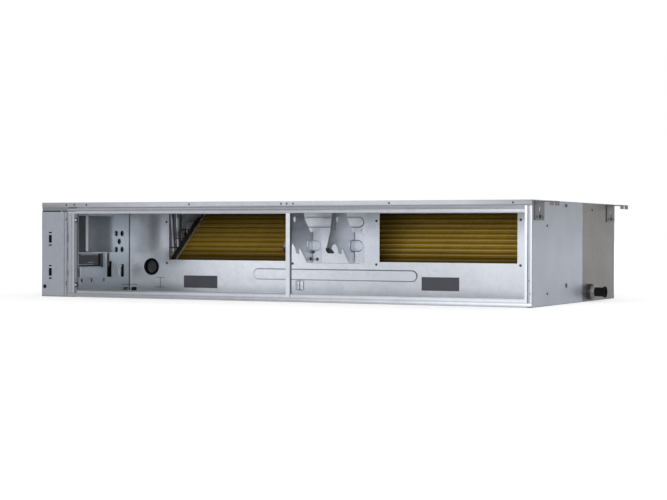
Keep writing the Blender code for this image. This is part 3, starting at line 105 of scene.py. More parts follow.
# Surfaces: edges sharper than this angle stay sharp, zinc crystals per metre, metres from fin to fin
SMOOTH_ANGLE = math.radians(35)
CRYSTALS = 95.0
FINE_CRYSTALS = 260.0
FIN_STEP = 0.0016
SHEET_ROUGHNESS = 0.38
LIP_ROUGHNESS = 0.46
FRONT_TINT = (0.60, 0.625, 0.68)
BOX_TINT = (0.29, 0.31, 0.35)

# Camera
CAMERA_AT = (1.5856, -3.2889, 0.1407)
CAMERA_YAW = math.radians(26.17)
CAMERA_PITCH = math.radians(0.54)
CAMERA_ROLL = math.radians(0.20)
CAMERA_LENS = 88.35

# The floor's half width and top, and its own light: two distances from the middle and the strength at each
FLOOR_HALF = 30.0
FLOOR_TOP = -0.0002
FLOOR_GLOW = (0.8, 4.0, 0.52, 0.85)

# Light: each lamp's name, place, target, size and power
WORLD_LIGHT = 0.42
LAMPS = (
    ("key", (0.7, -3.2, 0.50), (0.0, 0.0, 0.1), (2.4, 0.9), 52.0),
    ("high", (0.9, -2.6, 2.2), (0.1, 0.0, 0.1), (1.6, 1.6), 10.0),
    ("back", (0.4, 2.4, 2.2), (0.0, 0.0, 0.1), (2.0, 2.0), 14.0),
)

# Painted light and shade of the front's lip and rails: at stations along X, places up the height and how pale
# each is
LIP_PAINTED_SHADE = (
    (-0.60, ((0.1985, 0.34), (0.2005, 0.38), (0.2050, 0.42), (0.2100, 0.50))),
    (-0.33, ((0.1985, 0.36), (0.2000, 0.64), (0.2022, 0.72), (0.2100, 0.69))),
    (0.035, ((0.1985, 0.22), (0.2006, 0.48), (0.2025, 0.67), (0.2100, 0.71))),
    (0.362, ((0.1985, 0.16), (0.2005, 0.40), (0.2030, 0.62), (0.2100, 0.56))),
    (0.530, ((0.1985, 0.12), (0.2005, 0.26), (0.2030, 0.36), (0.2100, 0.32))),
)
RAIL_PAINTED_SHADE = (
    (-0.33, (
        (0.1850, 0.55), (0.1880, 0.69), (0.1905, 0.52), (0.1926, 0.33), (0.1940, 0.57), (0.1965, 0.48),
        (0.1990, 0.30),
    )),
    (0.035, (
        (0.1850, 0.46), (0.1880, 0.59), (0.1900, 0.51), (0.1923, 0.36), (0.1945, 0.47), (0.1965, 0.34),
        (0.1985, 0.20),
    )),
    (0.362, (
        (0.1850, 0.42), (0.1875, 0.58), (0.1890, 0.58), (0.1911, 0.52), (0.1930, 0.41), (0.1950, 0.30),
        (0.1975, 0.15),
    )),
)
LOW_PAINTED_LIGHT = (
    (-0.415, (
        (0.0010, 0.60), (0.0034, 0.44), (0.0056, 0.49), (0.0079, 0.40), (0.0098, 0.54), (0.0124, 0.64),
        (0.0144, 0.28), (0.0169, 0.22),
    )),
    (-0.187, (
        (0.0010, 0.66), (0.0037, 0.47), (0.0058, 0.63), (0.0079, 0.47), (0.0101, 0.79), (0.0122, 0.90),
        (0.0143, 0.80), (0.0169, 0.45),
    )),
    (0.363, (
        (0.0010, 0.70), (0.0033, 0.68), (0.0053, 1.00), (0.0069, 1.00), (0.0089, 0.62), (0.0109, 0.84),
        (0.0129, 0.92), (0.0149, 0.72), (0.0169, 0.60),
    )),
)

# Painted light and shade along X of the posts, the mullion and the deck
RIGHT_POST_PAINTED_LIGHT = (
    (0.5185, 0.78), (0.5223, 0.84), (0.5236, 0.76), (0.5244, 0.26), (0.5252, 0.46), (0.5284, 0.48),
    (0.5300, 0.66), (0.5325, 0.88), (0.5336, 0.50),
)
LEFT_POST_PAINTED_SHADE = (
    (-0.5520, 0.42), (-0.5490, 0.52), (-0.5463, 0.56), (-0.5436, 0.55), (-0.5409, 0.53), (-0.5382, 0.62),
    (-0.5356, 0.50), (-0.5340, 0.30), (-0.5310, 0.24),
)
MULLION_PAINTED_SHADE = ((-0.0052, 0.92), (0.0030, 0.92), (0.0042, 0.82), (0.0048, 0.30), (0.0054, 0.20))
DECK_PAINTED_LIGHT = (
    (-0.520, 0.50), (-0.436, 0.62), (-0.374, 0.76), (-0.320, 0.90), (-0.270, 0.965), (-0.215, 1.00),
    (-0.130, 0.99), (-0.020, 0.84), (0.060, 0.76), (0.125, 0.69), (0.250, 0.66), (0.390, 0.64), (0.520, 0.60),
)

# Painted shade up the deck's foot and the left cradle's plate, and along the right cradle's depth
DECK_FOOT_PAINTED_SHADE = ((0.0100, 0.80), (0.0144, 0.82), (0.0186, 0.87), (0.0228, 0.94), (0.0300, 1.00))
LEFT_CRADLE_PAINTED_SHADE = ((0.080, 0.86), (0.112, 0.66), (0.128, 0.50), (0.150, 0.46), (0.197, 0.40))
RIGHT_CRADLE_PAINTED_SHADE = (
    (-0.197, 0.28), (-0.184, 0.36), (-0.170, 0.50), (-0.140, 0.72), (-0.100, 0.92), (-0.066, 1.00),
)

# Painted shade of the coil: up its slope and across it, for the fins and for their painted highlight lines
COIL_PAINTED_SHADE = (
    (0.020, 0.06), (0.048, 0.08), (0.056, 0.16), (0.068, 0.28), (0.085, 0.50), (0.110, 0.88),
    (0.150, 1.00), (0.180, 1.00), (0.200, 0.84), (0.220, 0.62), (0.240, 0.50),
)
COIL_HIGHLIGHT_TONES = (
    (0.040, 0.04), (0.056, 0.16), (0.070, 0.34), (0.090, 0.75), (0.120, 1.00), (0.175, 1.00), (0.200, 0.80),
    (0.215, 0.45), (0.240, 0.25),
)
COIL_SHADE_ACROSS = ((-0.446, 0.70), (-0.300, 0.80), (-0.050, 0.86), (0.100, 0.95), (0.250, 1.00), (0.508, 0.98))
COIL_HIGHLIGHT_ACROSS = (
    (-0.446, 0.42), (-0.300, 0.50), (-0.050, 0.58), (0.100, 0.95), (0.250, 1.00), (0.508, 0.95),
)

# The painted highlight line and the painted shade of the valley within one pitch of the fins
FIN_PAINTED_HIGHLIGHT = ((0.0, 0.0), (0.58, 0.0), (0.63, 1.0), (0.75, 1.0), (0.80, 0.0), (1.0, 0.0))
FIN_VALLEY_SHADE = ((0.0, 0.90), (0.14, 0.45), (0.30, 0.10), (0.74, 0.10), (0.84, 0.85), (1.0, 0.90))


class Nodes:
    """A material's node tree, with short calls for the nodes it needs."""

    def __init__(self, name):
        self.material = bpy.data.materials.new(name)
        self.material.use_nodes = True
        self.tree = self.material.node_tree
        self.shader = self.tree.nodes["Principled BSDF"]
        self.place = self.add("ShaderNodeTexCoord").outputs["Object"]

    def add(self, kind, **settings):
        node = self.tree.nodes.new(kind)
        for key, value in settings.items():
            setattr(node, key, value)
        return node

    def put(self, socket, value):
        if isinstance(value, bpy.types.NodeSocket):
            self.tree.links.new(value, socket)
        elif isinstance(value, tuple) and len(value) == 3 and socket.type == "RGBA":
            socket.default_value = (*value, 1.0)
        else:
            socket.default_value = value

    def stretched(self, scale):
        node = self.add("ShaderNodeVectorMath", operation="MULTIPLY")
        self.put(node.inputs[0], self.place)
        node.inputs[1].default_value = scale
        return node.outputs[0]

    def noise(self, scale, detail=2.0, roughness=0.5, place=None):
        node = self.add("ShaderNodeTexNoise")
        self.put(node.inputs["Vector"], self.place if place is None else place)
        node.inputs["Scale"].default_value = scale
        node.inputs["Detail"].default_value = detail
        node.inputs["Roughness"].default_value = roughness
        return node.outputs["Fac"]

    def cells(self, scale, output="Color", place=None):
        node = self.add("ShaderNodeTexVoronoi")
        self.put(node.inputs["Vector"], self.place if place is None else place)
        node.inputs["Scale"].default_value = scale
        return node.outputs[output]

    def axis(self, which, place=None):
        node = self.add("ShaderNodeSeparateXYZ")
        self.put(node.inputs[0], self.place if place is None else place)
        return node.outputs["XYZ".index(which)]

    def math(self, operation, first, second=0.0):
        node = self.add("ShaderNodeMath", operation=operation)
        self.put(node.inputs[0], first)
        self.put(node.inputs[1], second)
        return node.outputs[0]

    def ramp(self, value, low, high, to_low=0.0, to_high=1.0):
        node = self.add("ShaderNodeMapRange")
        self.put(node.inputs["Value"], value)
        for key, number in (("From Min", low), ("From Max", high), ("To Min", to_low), ("To Max", to_high)):
            node.inputs[key].default_value = number
        return node.outputs["Result"]

    def mix(self, share, first, second):
        node = self.add("ShaderNodeMix", data_type="RGBA")
        self.put(node.inputs["Factor"], share)
        self.put(node.inputs["A"], first)
        self.put(node.inputs["B"], second)
        return node.outputs["Result"]

    def bump(self, height, strength, distance, normal=None):
        node = self.add("ShaderNodeBump")
        node.inputs["Strength"].default_value = strength
        node.inputs["Distance"].default_value = distance
        self.put(node.inputs["Height"], height)
        if normal is not None:
            self.put(node.inputs["Normal"], normal)
        return node.outputs["Normal"]

    def set(self, **values):
        """Sets the shader's sockets, whose names are given with _ for a space."""
        for key, value in values.items():
            self.put(self.shader.inputs[key.replace("_", " ")], value)
        return self.material


def scaled(n, tint, share):
    """A fixed colour or a colour socket, times a share."""
    node = n.add("ShaderNodeVectorMath", operation="SCALE")
    if isinstance(tint, tuple):
        node.inputs[0].default_value = tint
    else:
        n.put(node.inputs[0], tint)
    n.put(node.inputs["Scale"], share)
    return node.outputs[0]


def zinc(name, tint, roughness=SHEET_ROUGHNESS, metallic=0.6, spangle=0.035, parts=()):
    """Galvanised sheet: faint spangle, rolling lines along X, smudges, and what the parts add to its tone."""
    n = Nodes(name)
    crystal = n.axis("X", n.cells(CRYSTALS))
    fine = n.axis("X", n.cells(FINE_CRYSTALS))
    lines = n.noise(1.0, 3.0, 0.6, n.stretched((2.5, 170.0, 170.0)))
    cloud = n.noise(3.2, 3.0, 0.55)
    smudge = n.noise(11.0, 4.0, 0.6)
    share = n.ramp(crystal, 0.0, 1.0, 1.0 - spangle, 1.0 + spangle)
    share = n.math("MULTIPLY", share, n.ramp(fine, 0.0, 1.0, 1.0 - spangle / 2, 1.0 + spangle / 2))
    share = n.math("MULTIPLY", share, n.ramp(cloud, 0.3, 0.7, 0.965, 1.03))
    share = n.math("MULTIPLY", share, n.ramp(smudge, 0.35, 0.75, 1.01, 0.975))
    share = n.math("MULTIPLY", share, n.ramp(lines, 0.3, 0.7, 0.99, 1.01))
    for part in parts:
        share = n.math("MULTIPLY", share, part(n))
    rough = n.math("ADD", n.ramp(crystal, 0.0, 1.0, -0.03, 0.03), n.ramp(smudge, 0.3, 0.7, -0.03, 0.05))
    rough = n.math("ADD", rough, n.ramp(lines, 0.3, 0.7, roughness - 0.03, roughness + 0.03))
    normal = n.bump(crystal, 0.08, 0.0002)
    normal = n.bump(n.noise(7.0, 2.0, 0.5), 0.2, 0.002, normal)
    return n.set(Base_Color=scaled(n, tint, share), Roughness=rough, Metallic=metallic, Normal=normal)


def levels(n, value, stops):
    """A curve of a value, straight between the stops, each a place and its tone."""
    first, last = stops[0][0], stops[-1][0]
    curve = n.add("ShaderNodeValToRGB")
    n.put(curve.inputs["Fac"], n.ramp(value, first, last))
    elements = curve.color_ramp.elements
    for place, tone in stops[1:-1]:
        elements.new((place - first) / (last - first)).color = (tone, tone, tone, 1.0)
    for element, (_, tone) in ((elements[0], stops[0]), (elements[len(stops) - 1], stops[-1])):
        element.color = (tone, tone, tone, 1.0)
    return curve.outputs["Color"]


def tone_levels(axis, stops):
    """A tone that follows a curve along an axis."""
    return lambda n: levels(n, n.axis(axis), stops)


def tone_profile(stations):
    """A tone that follows a curve up the height, blended between the curves' stations along X."""

    def part(n):
        before, curve = stations[0]
        tone = levels(n, n.axis("Z"), curve)
        for station, curve in stations[1:]:
            tone = n.mix(n.ramp(n.axis("X"), before, station), tone, levels(n, n.axis("Z"), curve))
            before = station
        return tone

    return part


def in_front_of(place, part, beyond=1.0):
    """A part's tone in front of a place, and one even tone behind it."""
    return lambda n: n.mix(n.math("LESS_THAN", n.axis("Y"), place), (beyond, beyond, beyond), part(n))


def tone_along(axis, start, stop, first, last):
    """A tone that changes evenly along an axis between two places."""
    return lambda n: n.ramp(n.axis(axis), start, stop, first, last)


def tone_hem(place):
    """A darker tone for a cradle's folded front edge, beyond a place along X."""

    def part(n):
        hem = n.math("LESS_THAN", n.axis("Y"), CRADLE_HEM)
        hem = n.math("MULTIPLY", hem, n.math("GREATER_THAN", n.axis("X"), place))
        return n.ramp(hem, 0.0, 1.0, 1.0, 0.40)

    return part


def painted_light_spot(centre, size, tone):
    """A soft oval patch of painted light in the XZ plane, darker for a tone below one and lighter above one.
    """

    def part(n):
        x = n.math("DIVIDE", n.math("SUBTRACT", n.axis("X"), centre[0]), size[0])
        z = n.math("DIVIDE", n.math("SUBTRACT", n.axis("Z"), centre[1]), size[1])
        reach = n.math("ADD", n.math("MULTIPLY", x, x), n.math("MULTIPLY", z, z))
        return n.ramp(n.math("SQRT", reach), 0.25, 1.0, tone, 1.0)

    return part


def painted_crease_shade(centre, half, radius, upper_shade, lower, width=0.0009):
    """Painted shade in the fold round an obround pressing, its tones above and below the middle."""

    def part(n):
        x = n.math("ABSOLUTE", n.math("SUBTRACT", n.axis("X"), centre[0]))
        x = n.math("MAXIMUM", n.math("SUBTRACT", x, half), 0.0)
        z = n.math("SUBTRACT", n.axis("Z"), centre[1])
        reach = n.math("SQRT", n.math("ADD", n.math("MULTIPLY", x, x), n.math("MULTIPLY", z, z)))
        off = n.math("ABSOLUTE", n.math("SUBTRACT", reach, radius))
        tone = n.ramp(z, -0.002, 0.002, lower, upper_shade)
        share = n.ramp(off, width * 0.5, width * 1.5, 1.0, 0.0)
        return n.math("SUBTRACT", 1.0, n.math("MULTIPLY", share, n.math("SUBTRACT", 1.0, tone)))

    return part


def rubber(name, tint=(0.012, 0.012, 0.013), roughness=0.5, gloss=0.3):
    n = Nodes(name)
    grain = n.noise(900.0, 2.0)
    dust = n.noise(26.0, 4.0, 0.6)
    colour = n.mix(n.ramp(dust, 0.5, 0.8), tint, tuple(value * 1.8 + 0.003 for value in tint))
    rough = n.ramp(dust, 0.3, 0.7, roughness - 0.08, roughness + 0.1)
    normal = n.bump(grain, 0.25, 0.0002)
    return n.set(Base_Color=colour, Roughness=rough, Specular_IOR_Level=gloss, Normal=normal)


def foam(name, tint=(0.012, 0.012, 0.014)):
    n = Nodes(name)
    pores = n.cells(420.0, "Distance")
    cloud = n.noise(18.0, 3.0)
    colour = n.mix(n.ramp(cloud, 0.35, 0.7), tint, tuple(value * 1.9 for value in tint))
    normal = n.bump(pores, 0.5, 0.0006)
    return n.set(Base_Color=colour, Roughness=0.95, Specular_IOR_Level=0.1, Normal=normal)


def plastic(name, tint, roughness=0.45):
    n = Nodes(name)
    texture = n.noise(700.0, 2.0)
    cloud = n.noise(20.0, 3.0)
    colour = n.mix(n.ramp(cloud, 0.3, 0.75), tint, tuple(value * 0.86 for value in tint))
    rough = n.ramp(cloud, 0.3, 0.7, roughness - 0.05, roughness + 0.08)
    return n.set(Base_Color=colour, Roughness=rough, Normal=n.bump(texture, 0.15, 0.00015))


def drain_ring(name, step):
    """A black washer up to the step, and a pale steel nut beyond it."""
    n = Nodes(name)
    grain = n.noise(140.0, 3.0)
    nut = n.math("GREATER_THAN", n.axis("X"), step)
    pale = n.mix(n.ramp(grain, 0.3, 0.7), (0.17, 0.165, 0.172), (0.27, 0.265, 0.28))
    dark = n.mix(n.ramp(grain, 0.3, 0.7), (0.015, 0.015, 0.016), (0.03, 0.03, 0.032))
    return n.set(
        Base_Color=n.mix(nut, dark, pale),
        Roughness=n.ramp(grain, 0.3, 0.7, 0.38, 0.5),
        Metallic=n.math("MULTIPLY", nut, 0.6),
    )


def copper_colours(n, bright=(0.55, 0.29, 0.18), dull=(0.24, 0.12, 0.075)):
    """Copper with brown tarnish, as a colour and a roughness."""
    tarnish = n.noise(30.0, 4.0, 0.65)
    fine = n.noise(240.0, 3.0, 0.6)
    colour = n.mix(n.ramp(tarnish, 0.42, 0.72), bright, dull)
    colour = n.mix(n.ramp(fine, 0.55, 0.75, 0.0, 0.4), colour, tuple(1.3 * value for value in bright))
    return colour, n.ramp(tarnish, 0.3, 0.75, 0.28, 0.5)


def copper(name):
    """Copper pipe that is tarnished and darkened with painted shade inside the casing, and bare where it
    comes out.
    """
    n = Nodes(name)
    colour, rough = copper_colours(n)
    # The darker copper inside the casing is tarnish with painted shade.
    inner_shade, _ = copper_colours(n, (0.36, 0.275, 0.265), (0.16, 0.12, 0.13))
    outside = n.ramp(n.axis("X"), LEFT - 0.002, LEFT + 0.002, 1.0, 0.0)
    return n.set(Base_Color=n.mix(outside, inner_shade, colour), Roughness=rough, Metallic=0.8)


def brass(name):
    n = Nodes(name)
    turned = n.noise(1.0, 2.0, 0.5, n.stretched((900.0, 40.0, 40.0)))
    cloud = n.noise(60.0, 3.0)
    colour = n.mix(n.ramp(cloud, 0.35, 0.75), (0.70, 0.50, 0.20), (0.50, 0.33, 0.12))
    rough = n.ramp(turned, 0.3, 0.7, 0.2, 0.34)
    return n.set(Base_Color=colour, Roughness=rough, Metallic=1.0, Normal=n.bump(turned, 0.12, 0.0001))


def end_plate(name, plate_edge, outwards):
    """A zinc end plate whose tubes beyond the plate's outer face are copper, tarnished and darkened with
    painted shade.
    """
    n = Nodes(name)
    # The tubes' near-black copper is tarnish with painted shade from the dark cavity.
    colour, rough = copper_colours(n, (0.13, 0.085, 0.07), (0.05, 0.035, 0.032))
    sheet = n.mix(n.ramp(n.noise(38.0, 4.0, 0.7), 0.4, 0.62), (0.14, 0.125, 0.14), (0.34, 0.33, 0.34))
    x = n.axis("X")
    beyond = n.math("GREATER_THAN", x, plate_edge) if outwards > 0 else n.math("LESS_THAN", x, plate_edge)
    return n.set(
        Base_Color=n.mix(beyond, sheet, colour),
        Roughness=n.math("ADD", n.math("MULTIPLY", beyond, -0.04), n.ramp(rough, 0.2, 0.5, 0.3, 0.4)),
        Metallic=0.8,
    )


def gold_fins(name):
    """Gold-coated fins: a painted highlight line just below each ridge, upright edges, and painted shade
    between the tubes.
    """
    n = Nodes(name)
    y = n.math("SUBTRACT", n.axis("Y"), COIL_FOOT[0])
    z = n.math("SUBTRACT", n.axis("Z"), COIL_FOOT[1])
    along = n.math("MULTIPLY", y, math.sin(COIL_LEAN))
    along = n.math("ADD", along, n.math("MULTIPLY", z, math.cos(COIL_LEAN)))
    turn = n.math("FRACT", n.math("DIVIDE", along, COIL_PITCH))
    # Painted highlight: a bright line just below each ridge, flickered by the glint noise
    ridge_highlight = levels(n, turn, FIN_PAINTED_HIGHLIGHT)
    stripes = n.math("SINE", n.math("MULTIPLY", n.axis("X"), 2 * math.pi / FIN_STEP))
    cloud = n.noise(1.0, 3.0, 0.6, n.stretched((7.0, 30.0, 30.0)))
    combed = n.noise(1.0, 3.0, 0.6, n.stretched((190.0, 6.0, 6.0)))
    glint = n.noise(1.0, 2.0, 0.6, n.stretched((16.0, 60.0, 60.0)))
    share = n.math("MULTIPLY", n.ramp(stripes, -1.0, 1.0, 0.82, 1.06), n.ramp(cloud, 0.3, 0.7, 0.85, 1.1))
    share = n.math("MULTIPLY", share, n.ramp(combed, 0.3, 0.7, 0.88, 1.06))
    # Painted shade up the coil's slope and across it
    share = n.math("MULTIPLY", share, levels(n, along, COIL_PAINTED_SHADE))
    share = n.math("MULTIPLY", share, levels(n, n.axis("X"), COIL_SHADE_ACROSS))
    # Painted shade in the valley between the tubes
    fins = scaled(n, n.mix(levels(n, turn, FIN_VALLEY_SHADE), (0.92, 0.58, 0.050), (0.38, 0.215, 0.020)), share)
    # How strong the painted highlight is across and up the coil
    highlight_share = levels(n, n.axis("X"), COIL_HIGHLIGHT_ACROSS)
    highlight_share = n.math("MULTIPLY", levels(n, along, COIL_HIGHLIGHT_TONES), highlight_share)
    lines = scaled(n, (1.0, 0.84, 0.42), highlight_share)
    colour = n.mix(n.math("MULTIPLY", ridge_highlight, n.ramp(glint, 0.35, 0.65, 0.85, 1.0)), fins, lines)
    normal = n.bump(n.math("ADD", n.math("MULTIPLY", stripes, 0.5), ridge_highlight), 0.3, 0.0005)
    return n.set(Base_Color=colour, Roughness=0.45, Metallic=0.05, Specular_IOR_Level=0.2, Normal=normal)


def circuit_board(name, face):
    """Green board with tracks and pads, and dark parts that stand off its face towards -X."""
    n = Nodes(name)
    tracks = n.cells(260.0, "Distance")
    pads = n.cells(420.0, "Distance", n.stretched((1.0, 1.0, 0.6)))
    green = n.mix(n.ramp(tracks, 0.10, 0.16), (0.03, 0.16, 0.07), (0.045, 0.24, 0.11))
    green = n.mix(n.math("LESS_THAN", pads, 0.13), green, (0.55, 0.52, 0.42))
    part = n.math("LESS_THAN", n.axis("X"), face - 0.0004)
    dark = n.mix(n.ramp(n.noise(50.0), 0.3, 0.7), (0.03, 0.03, 0.035), (0.055, 0.055, 0.06))
    return n.set(Base_Color=n.mix(part, green, dark), Roughness=0.42)


def dark_plate(name):
    """A bare dark plate with a soft sheen."""
    n = Nodes(name)
    cloud = n.noise(30.0, 3.0)
    colour = n.mix(n.ramp(cloud, 0.3, 0.7), (0.051, 0.051, 0.068), (0.068, 0.067, 0.086))
    rough = n.ramp(cloud, 0.3, 0.7, 0.5, 0.62)
    return n.set(Base_Color=colour, Roughness=rough)


def new_object(name, bm):
    """An object in the scene from a bmesh, which is used up."""
    mesh = bpy.data.meshes.new(name)
    bm.to_mesh(mesh)
    bm.free()
    obj = bpy.data.objects.new(name, mesh)
    bpy.context.scene.collection.objects.link(obj)
    return obj


def mesh_object(name, bm, mat, body="unit"):
    """A piece that rides on a body, from a bmesh."""
    bmesh.ops.recalc_face_normals(bm, faces=bm.faces)
    obj = new_object(name, bm)
    obj.data.materials.append(mat)
    obj.data.shade_smooth()
    obj.data.set_sharp_from_angle(angle=SMOOTH_ANGLE)
    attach(obj, body)


def stand_on(place, direction, spin=0.0):
    """The matrix that takes the origin to the place and +Z to the direction, after a spin about Z."""
    turn = Vector(direction).to_track_quat("Z", "Y").to_matrix().to_4x4()
    return Matrix.Translation(place) @ (turn @ Matrix.Rotation(spin, 4, "Z"))


def new_ring(bm, points):
    return [bm.verts.new(point) for point in points]


def bridge(bm, ring, following):
    """Faces all the way round between two rings of as many vertices."""
    for index in range(len(ring)):
        after = (index + 1) % len(ring)
        bm.faces.new((ring[index], ring[after], following[after], following[index]))


def ring_points(matrix, reach, level, sides):
    """Points round the matrix's Z axis at a level, with the reaches taken in turn."""
    points = []
    for index in range(sides):
        turn = 2 * math.pi * index / sides
        size = reach[index % len(reach)]
        points.append(matrix @ Vector((math.cos(turn) * size, math.sin(turn) * size, level)))
    return points


def add_lathe(bm, matrix, profile, sides=16):
    """A capped body from (reach, level) rings, where a reach may be several, taken in turn round the ring."""
    rings = []
    for reach, level in profile:
        reach = reach if isinstance(reach, tuple) else (reach,)
        rings.append(new_ring(bm, ring_points(matrix, reach, level, sides)))
    for ring, following in zip(rings, rings[1:]):
        bridge(bm, ring, following)
    bm.faces.new(rings[0][::-1])
    bm.faces.new(rings[-1])


def add_prism(bm, outline, start, stop):
    """A solid between two places along X, with its outline in (y, z)."""
    first, last = (new_ring(bm, [(x, y, z) for y, z in outline]) for x in (start, stop))
    bm.faces.new(first[::-1])
    bm.faces.new(last)
    bridge(bm, first, last)


def add_box(bm, low, high):
    """A box from its lowest to its highest corner."""
    outline = ((low[1], low[2]), (high[1], low[2]), (high[1], high[2]), (low[1], high[2]))
    add_prism(bm, outline, low[0], high[0])


def add_screw(bm, place, direction, radius, height, spin):
    """A pan-head screw with a cross recess and a flange under its head."""
    rim = 1.18 * radius
    cross = (0.52 * radius, 0.20 * radius, 0.15 * radius, 0.20 * radius)
    profile = [(rim, 0.0), (rim, 0.2 * height), (radius, 0.3 * height), (0.97 * radius, 0.62 * height)]
    profile += [(0.80 * radius, 0.9 * height), (0.62 * radius, height), (cross, 0.98 * height)]
    profile += [(tuple(0.7 * size for size in cross), 0.35 * height)]
    add_lathe(bm, stand_on(place, direction, spin), profile)


def add_rivet(bm, place, direction, radius, height):
    """A blind rivet: a domed head with a hole in its middle."""
    profile = [(radius, 0.0), (radius, 0.25 * height), (0.86 * radius, 0.7 * height), (0.55 * radius, height)]
    profile += [(0.34 * radius, 0.95 * height), (0.30 * radius, 0.2 * height)]
    add_lathe(bm, stand_on(place, direction), profile)


def add_bolt(bm, place, direction, radius, height):
    """A hexagon bolt head on a washer."""
    matrix = stand_on(place, direction, 0.2)
    washer = [(1.3 * radius, 0.0), (1.3 * radius, 0.22 * height), (1.05 * radius, 0.23 * height)]
    head = [(radius, 0.2 * height), (radius, 0.85 * height)]
    head += [(0.86 * radius, height), (0.3 * radius, 1.02 * height)]
    add_lathe(bm, matrix, washer, 18)
    add_lathe(bm, matrix, head, 6)


def screws(name, places, direction, mat, radius, height):
    """Screws that face one way, each turned by some angle of its own."""
    bm = bmesh.new()
    for index, place in enumerate(places):
        add_screw(bm, place, direction, radius, height, 0.4 + 1.7 * index)
    mesh_object(name, bm, mat)


def strips(name, boxes, mat, body="unit"):
    """Thin bars laid on the faces, each from its lowest to its highest corner."""
    bm = bmesh.new()
    for low, high in boxes:
        add_box(bm, low, high)
    mesh_object(name, bm, mat, body)


def upright_boxes(depths, rectangles):
    """Boxes for strips between two depths along X, from rectangles: low y, low z, high y, high z."""
    return [((depths[0], y0, z0), (depths[1], y1, z1)) for y0, z0, y1, z1 in rectangles]


def deck_sheet():
    """The fan deck's pale sheet, with painted shade round its beads, soft patches of painted light, and soft
    painted shade across it, at its left and at its foot.
    """
    return zinc("deck_zinc", (0.83, 0.87, 0.95), parts=(
        # Painted shade in the folds round the beads, then soft patches of painted light and shade
        painted_crease_shade((0.0, 0.0518), 0.1881, 0.0119, 0.30, 0.66),
        painted_crease_shade((0.0, 0.1680), 0.0622, 0.0113, 0.62, 0.40),
        painted_light_spot((-0.4654, 0.150), (0.020, 0.075), 0.60),
        painted_light_spot((-0.4370, 0.140), (0.016, 0.070), 1.35),
        painted_light_spot((-0.4150, 0.088), (0.050, 0.026), 0.62),
        painted_light_spot((0.0, 0.1683), (0.110, 0.016), 1.16),
        painted_light_spot((-0.4400, 0.012), (0.100, 0.024), 0.66),
        # Painted light and shade across the deck and up its foot
        tone_levels("X", DECK_PAINTED_LIGHT),
        tone_levels("Z", DECK_FOOT_PAINTED_SHADE),
    ))


def front_looks():
    """The front frame's sheets, with painted light and shade on the front faces and one even tone behind."""
    looks = {}
    right_post = tone_levels("X", RIGHT_POST_PAINTED_LIGHT)
    left_post = tone_levels("X", LEFT_POST_PAINTED_SHADE)
    for node, name, depth, painted_tones, behind, roughness in (
        ("top_panel", "lip_zinc", 0.0011, tone_profile(LIP_PAINTED_SHADE), 0.62, LIP_ROUGHNESS),
        ("front_top_rail", "rail_zinc", 0.006, tone_profile(RAIL_PAINTED_SHADE), 0.6, SHEET_ROUGHNESS),
        ("bay_floor_panel", "low_zinc", 0.003, tone_profile(LOW_PAINTED_LIGHT), 0.62, SHEET_ROUGHNESS),
        ("right_front_post", "right_post_zinc", 0.004, right_post, 0.6, SHEET_ROUGHNESS),
        ("left_front_post", "left_post_zinc", 0.006, left_post, 0.3, SHEET_ROUGHNESS),
    ):
        # Painted light and shade on the front faces only
        part = in_front_of(FRONT + depth, painted_tones, behind)
        looks[node] = zinc(name, FRONT_TINT, roughness, parts=(part,))
    looks["front_bottom_rail"] = looks["bay_floor_panel"]
    looks["centre_mullion"] = zinc("mullion_zinc", FRONT_TINT, parts=(tone_levels("X", MULLION_PAINTED_SHADE),))
    return looks


def box_looks():
    """The electrical box's sheets, darker along their outer edges and with painted shade at the tray's top,
    and the bright divider in it, with painted shade towards its front.
    """
    edge = tone_along("X", BOX_LEFT + 0.0004, BOX_LEFT + 0.0020, 0.45, 1.0)
    base = tone_along("Z", 0.0006, 0.0022, 0.40, 1.0)
    # Painted shade at the tray's top and towards the divider's front
    top = tone_along("Z", 0.1910, 0.1905, 0.62, 1.0)
    depth = tone_along("Y", -0.188, -0.125, 0.34, 1.0)
    return {
        "box_cover": zinc("cover_zinc", BOX_TINT, parts=(edge, base)),
        "box_tray": zinc("tray_zinc", BOX_TINT, parts=(edge, base, top)),
        "box_divider": zinc("inner_zinc", (0.84, 0.90, 0.98), parts=(depth,)),
    }


def cradle_looks():
    """The motor cradles' sheets, each with painted shade on its plate and a darker hem."""
    looks = {}
    for side, tint, painted_tones, hem in (
        ("left", (0.60, 0.63, 0.69), tone_levels("Z", LEFT_CRADLE_PAINTED_SHADE), -0.0510),
        ("right", (0.56, 0.59, 0.65), tone_levels("Y", RIGHT_CRADLE_PAINTED_SHADE), 0.0516),
    ):
        # Painted shade on the plate in front of its fold
        parts = (in_front_of(CRADLE_PLATE, painted_tones), tone_hem(hem))
        looks["motor_cradle_" + side] = zinc(side + "_cradle_zinc", tint, parts=parts)
    return looks


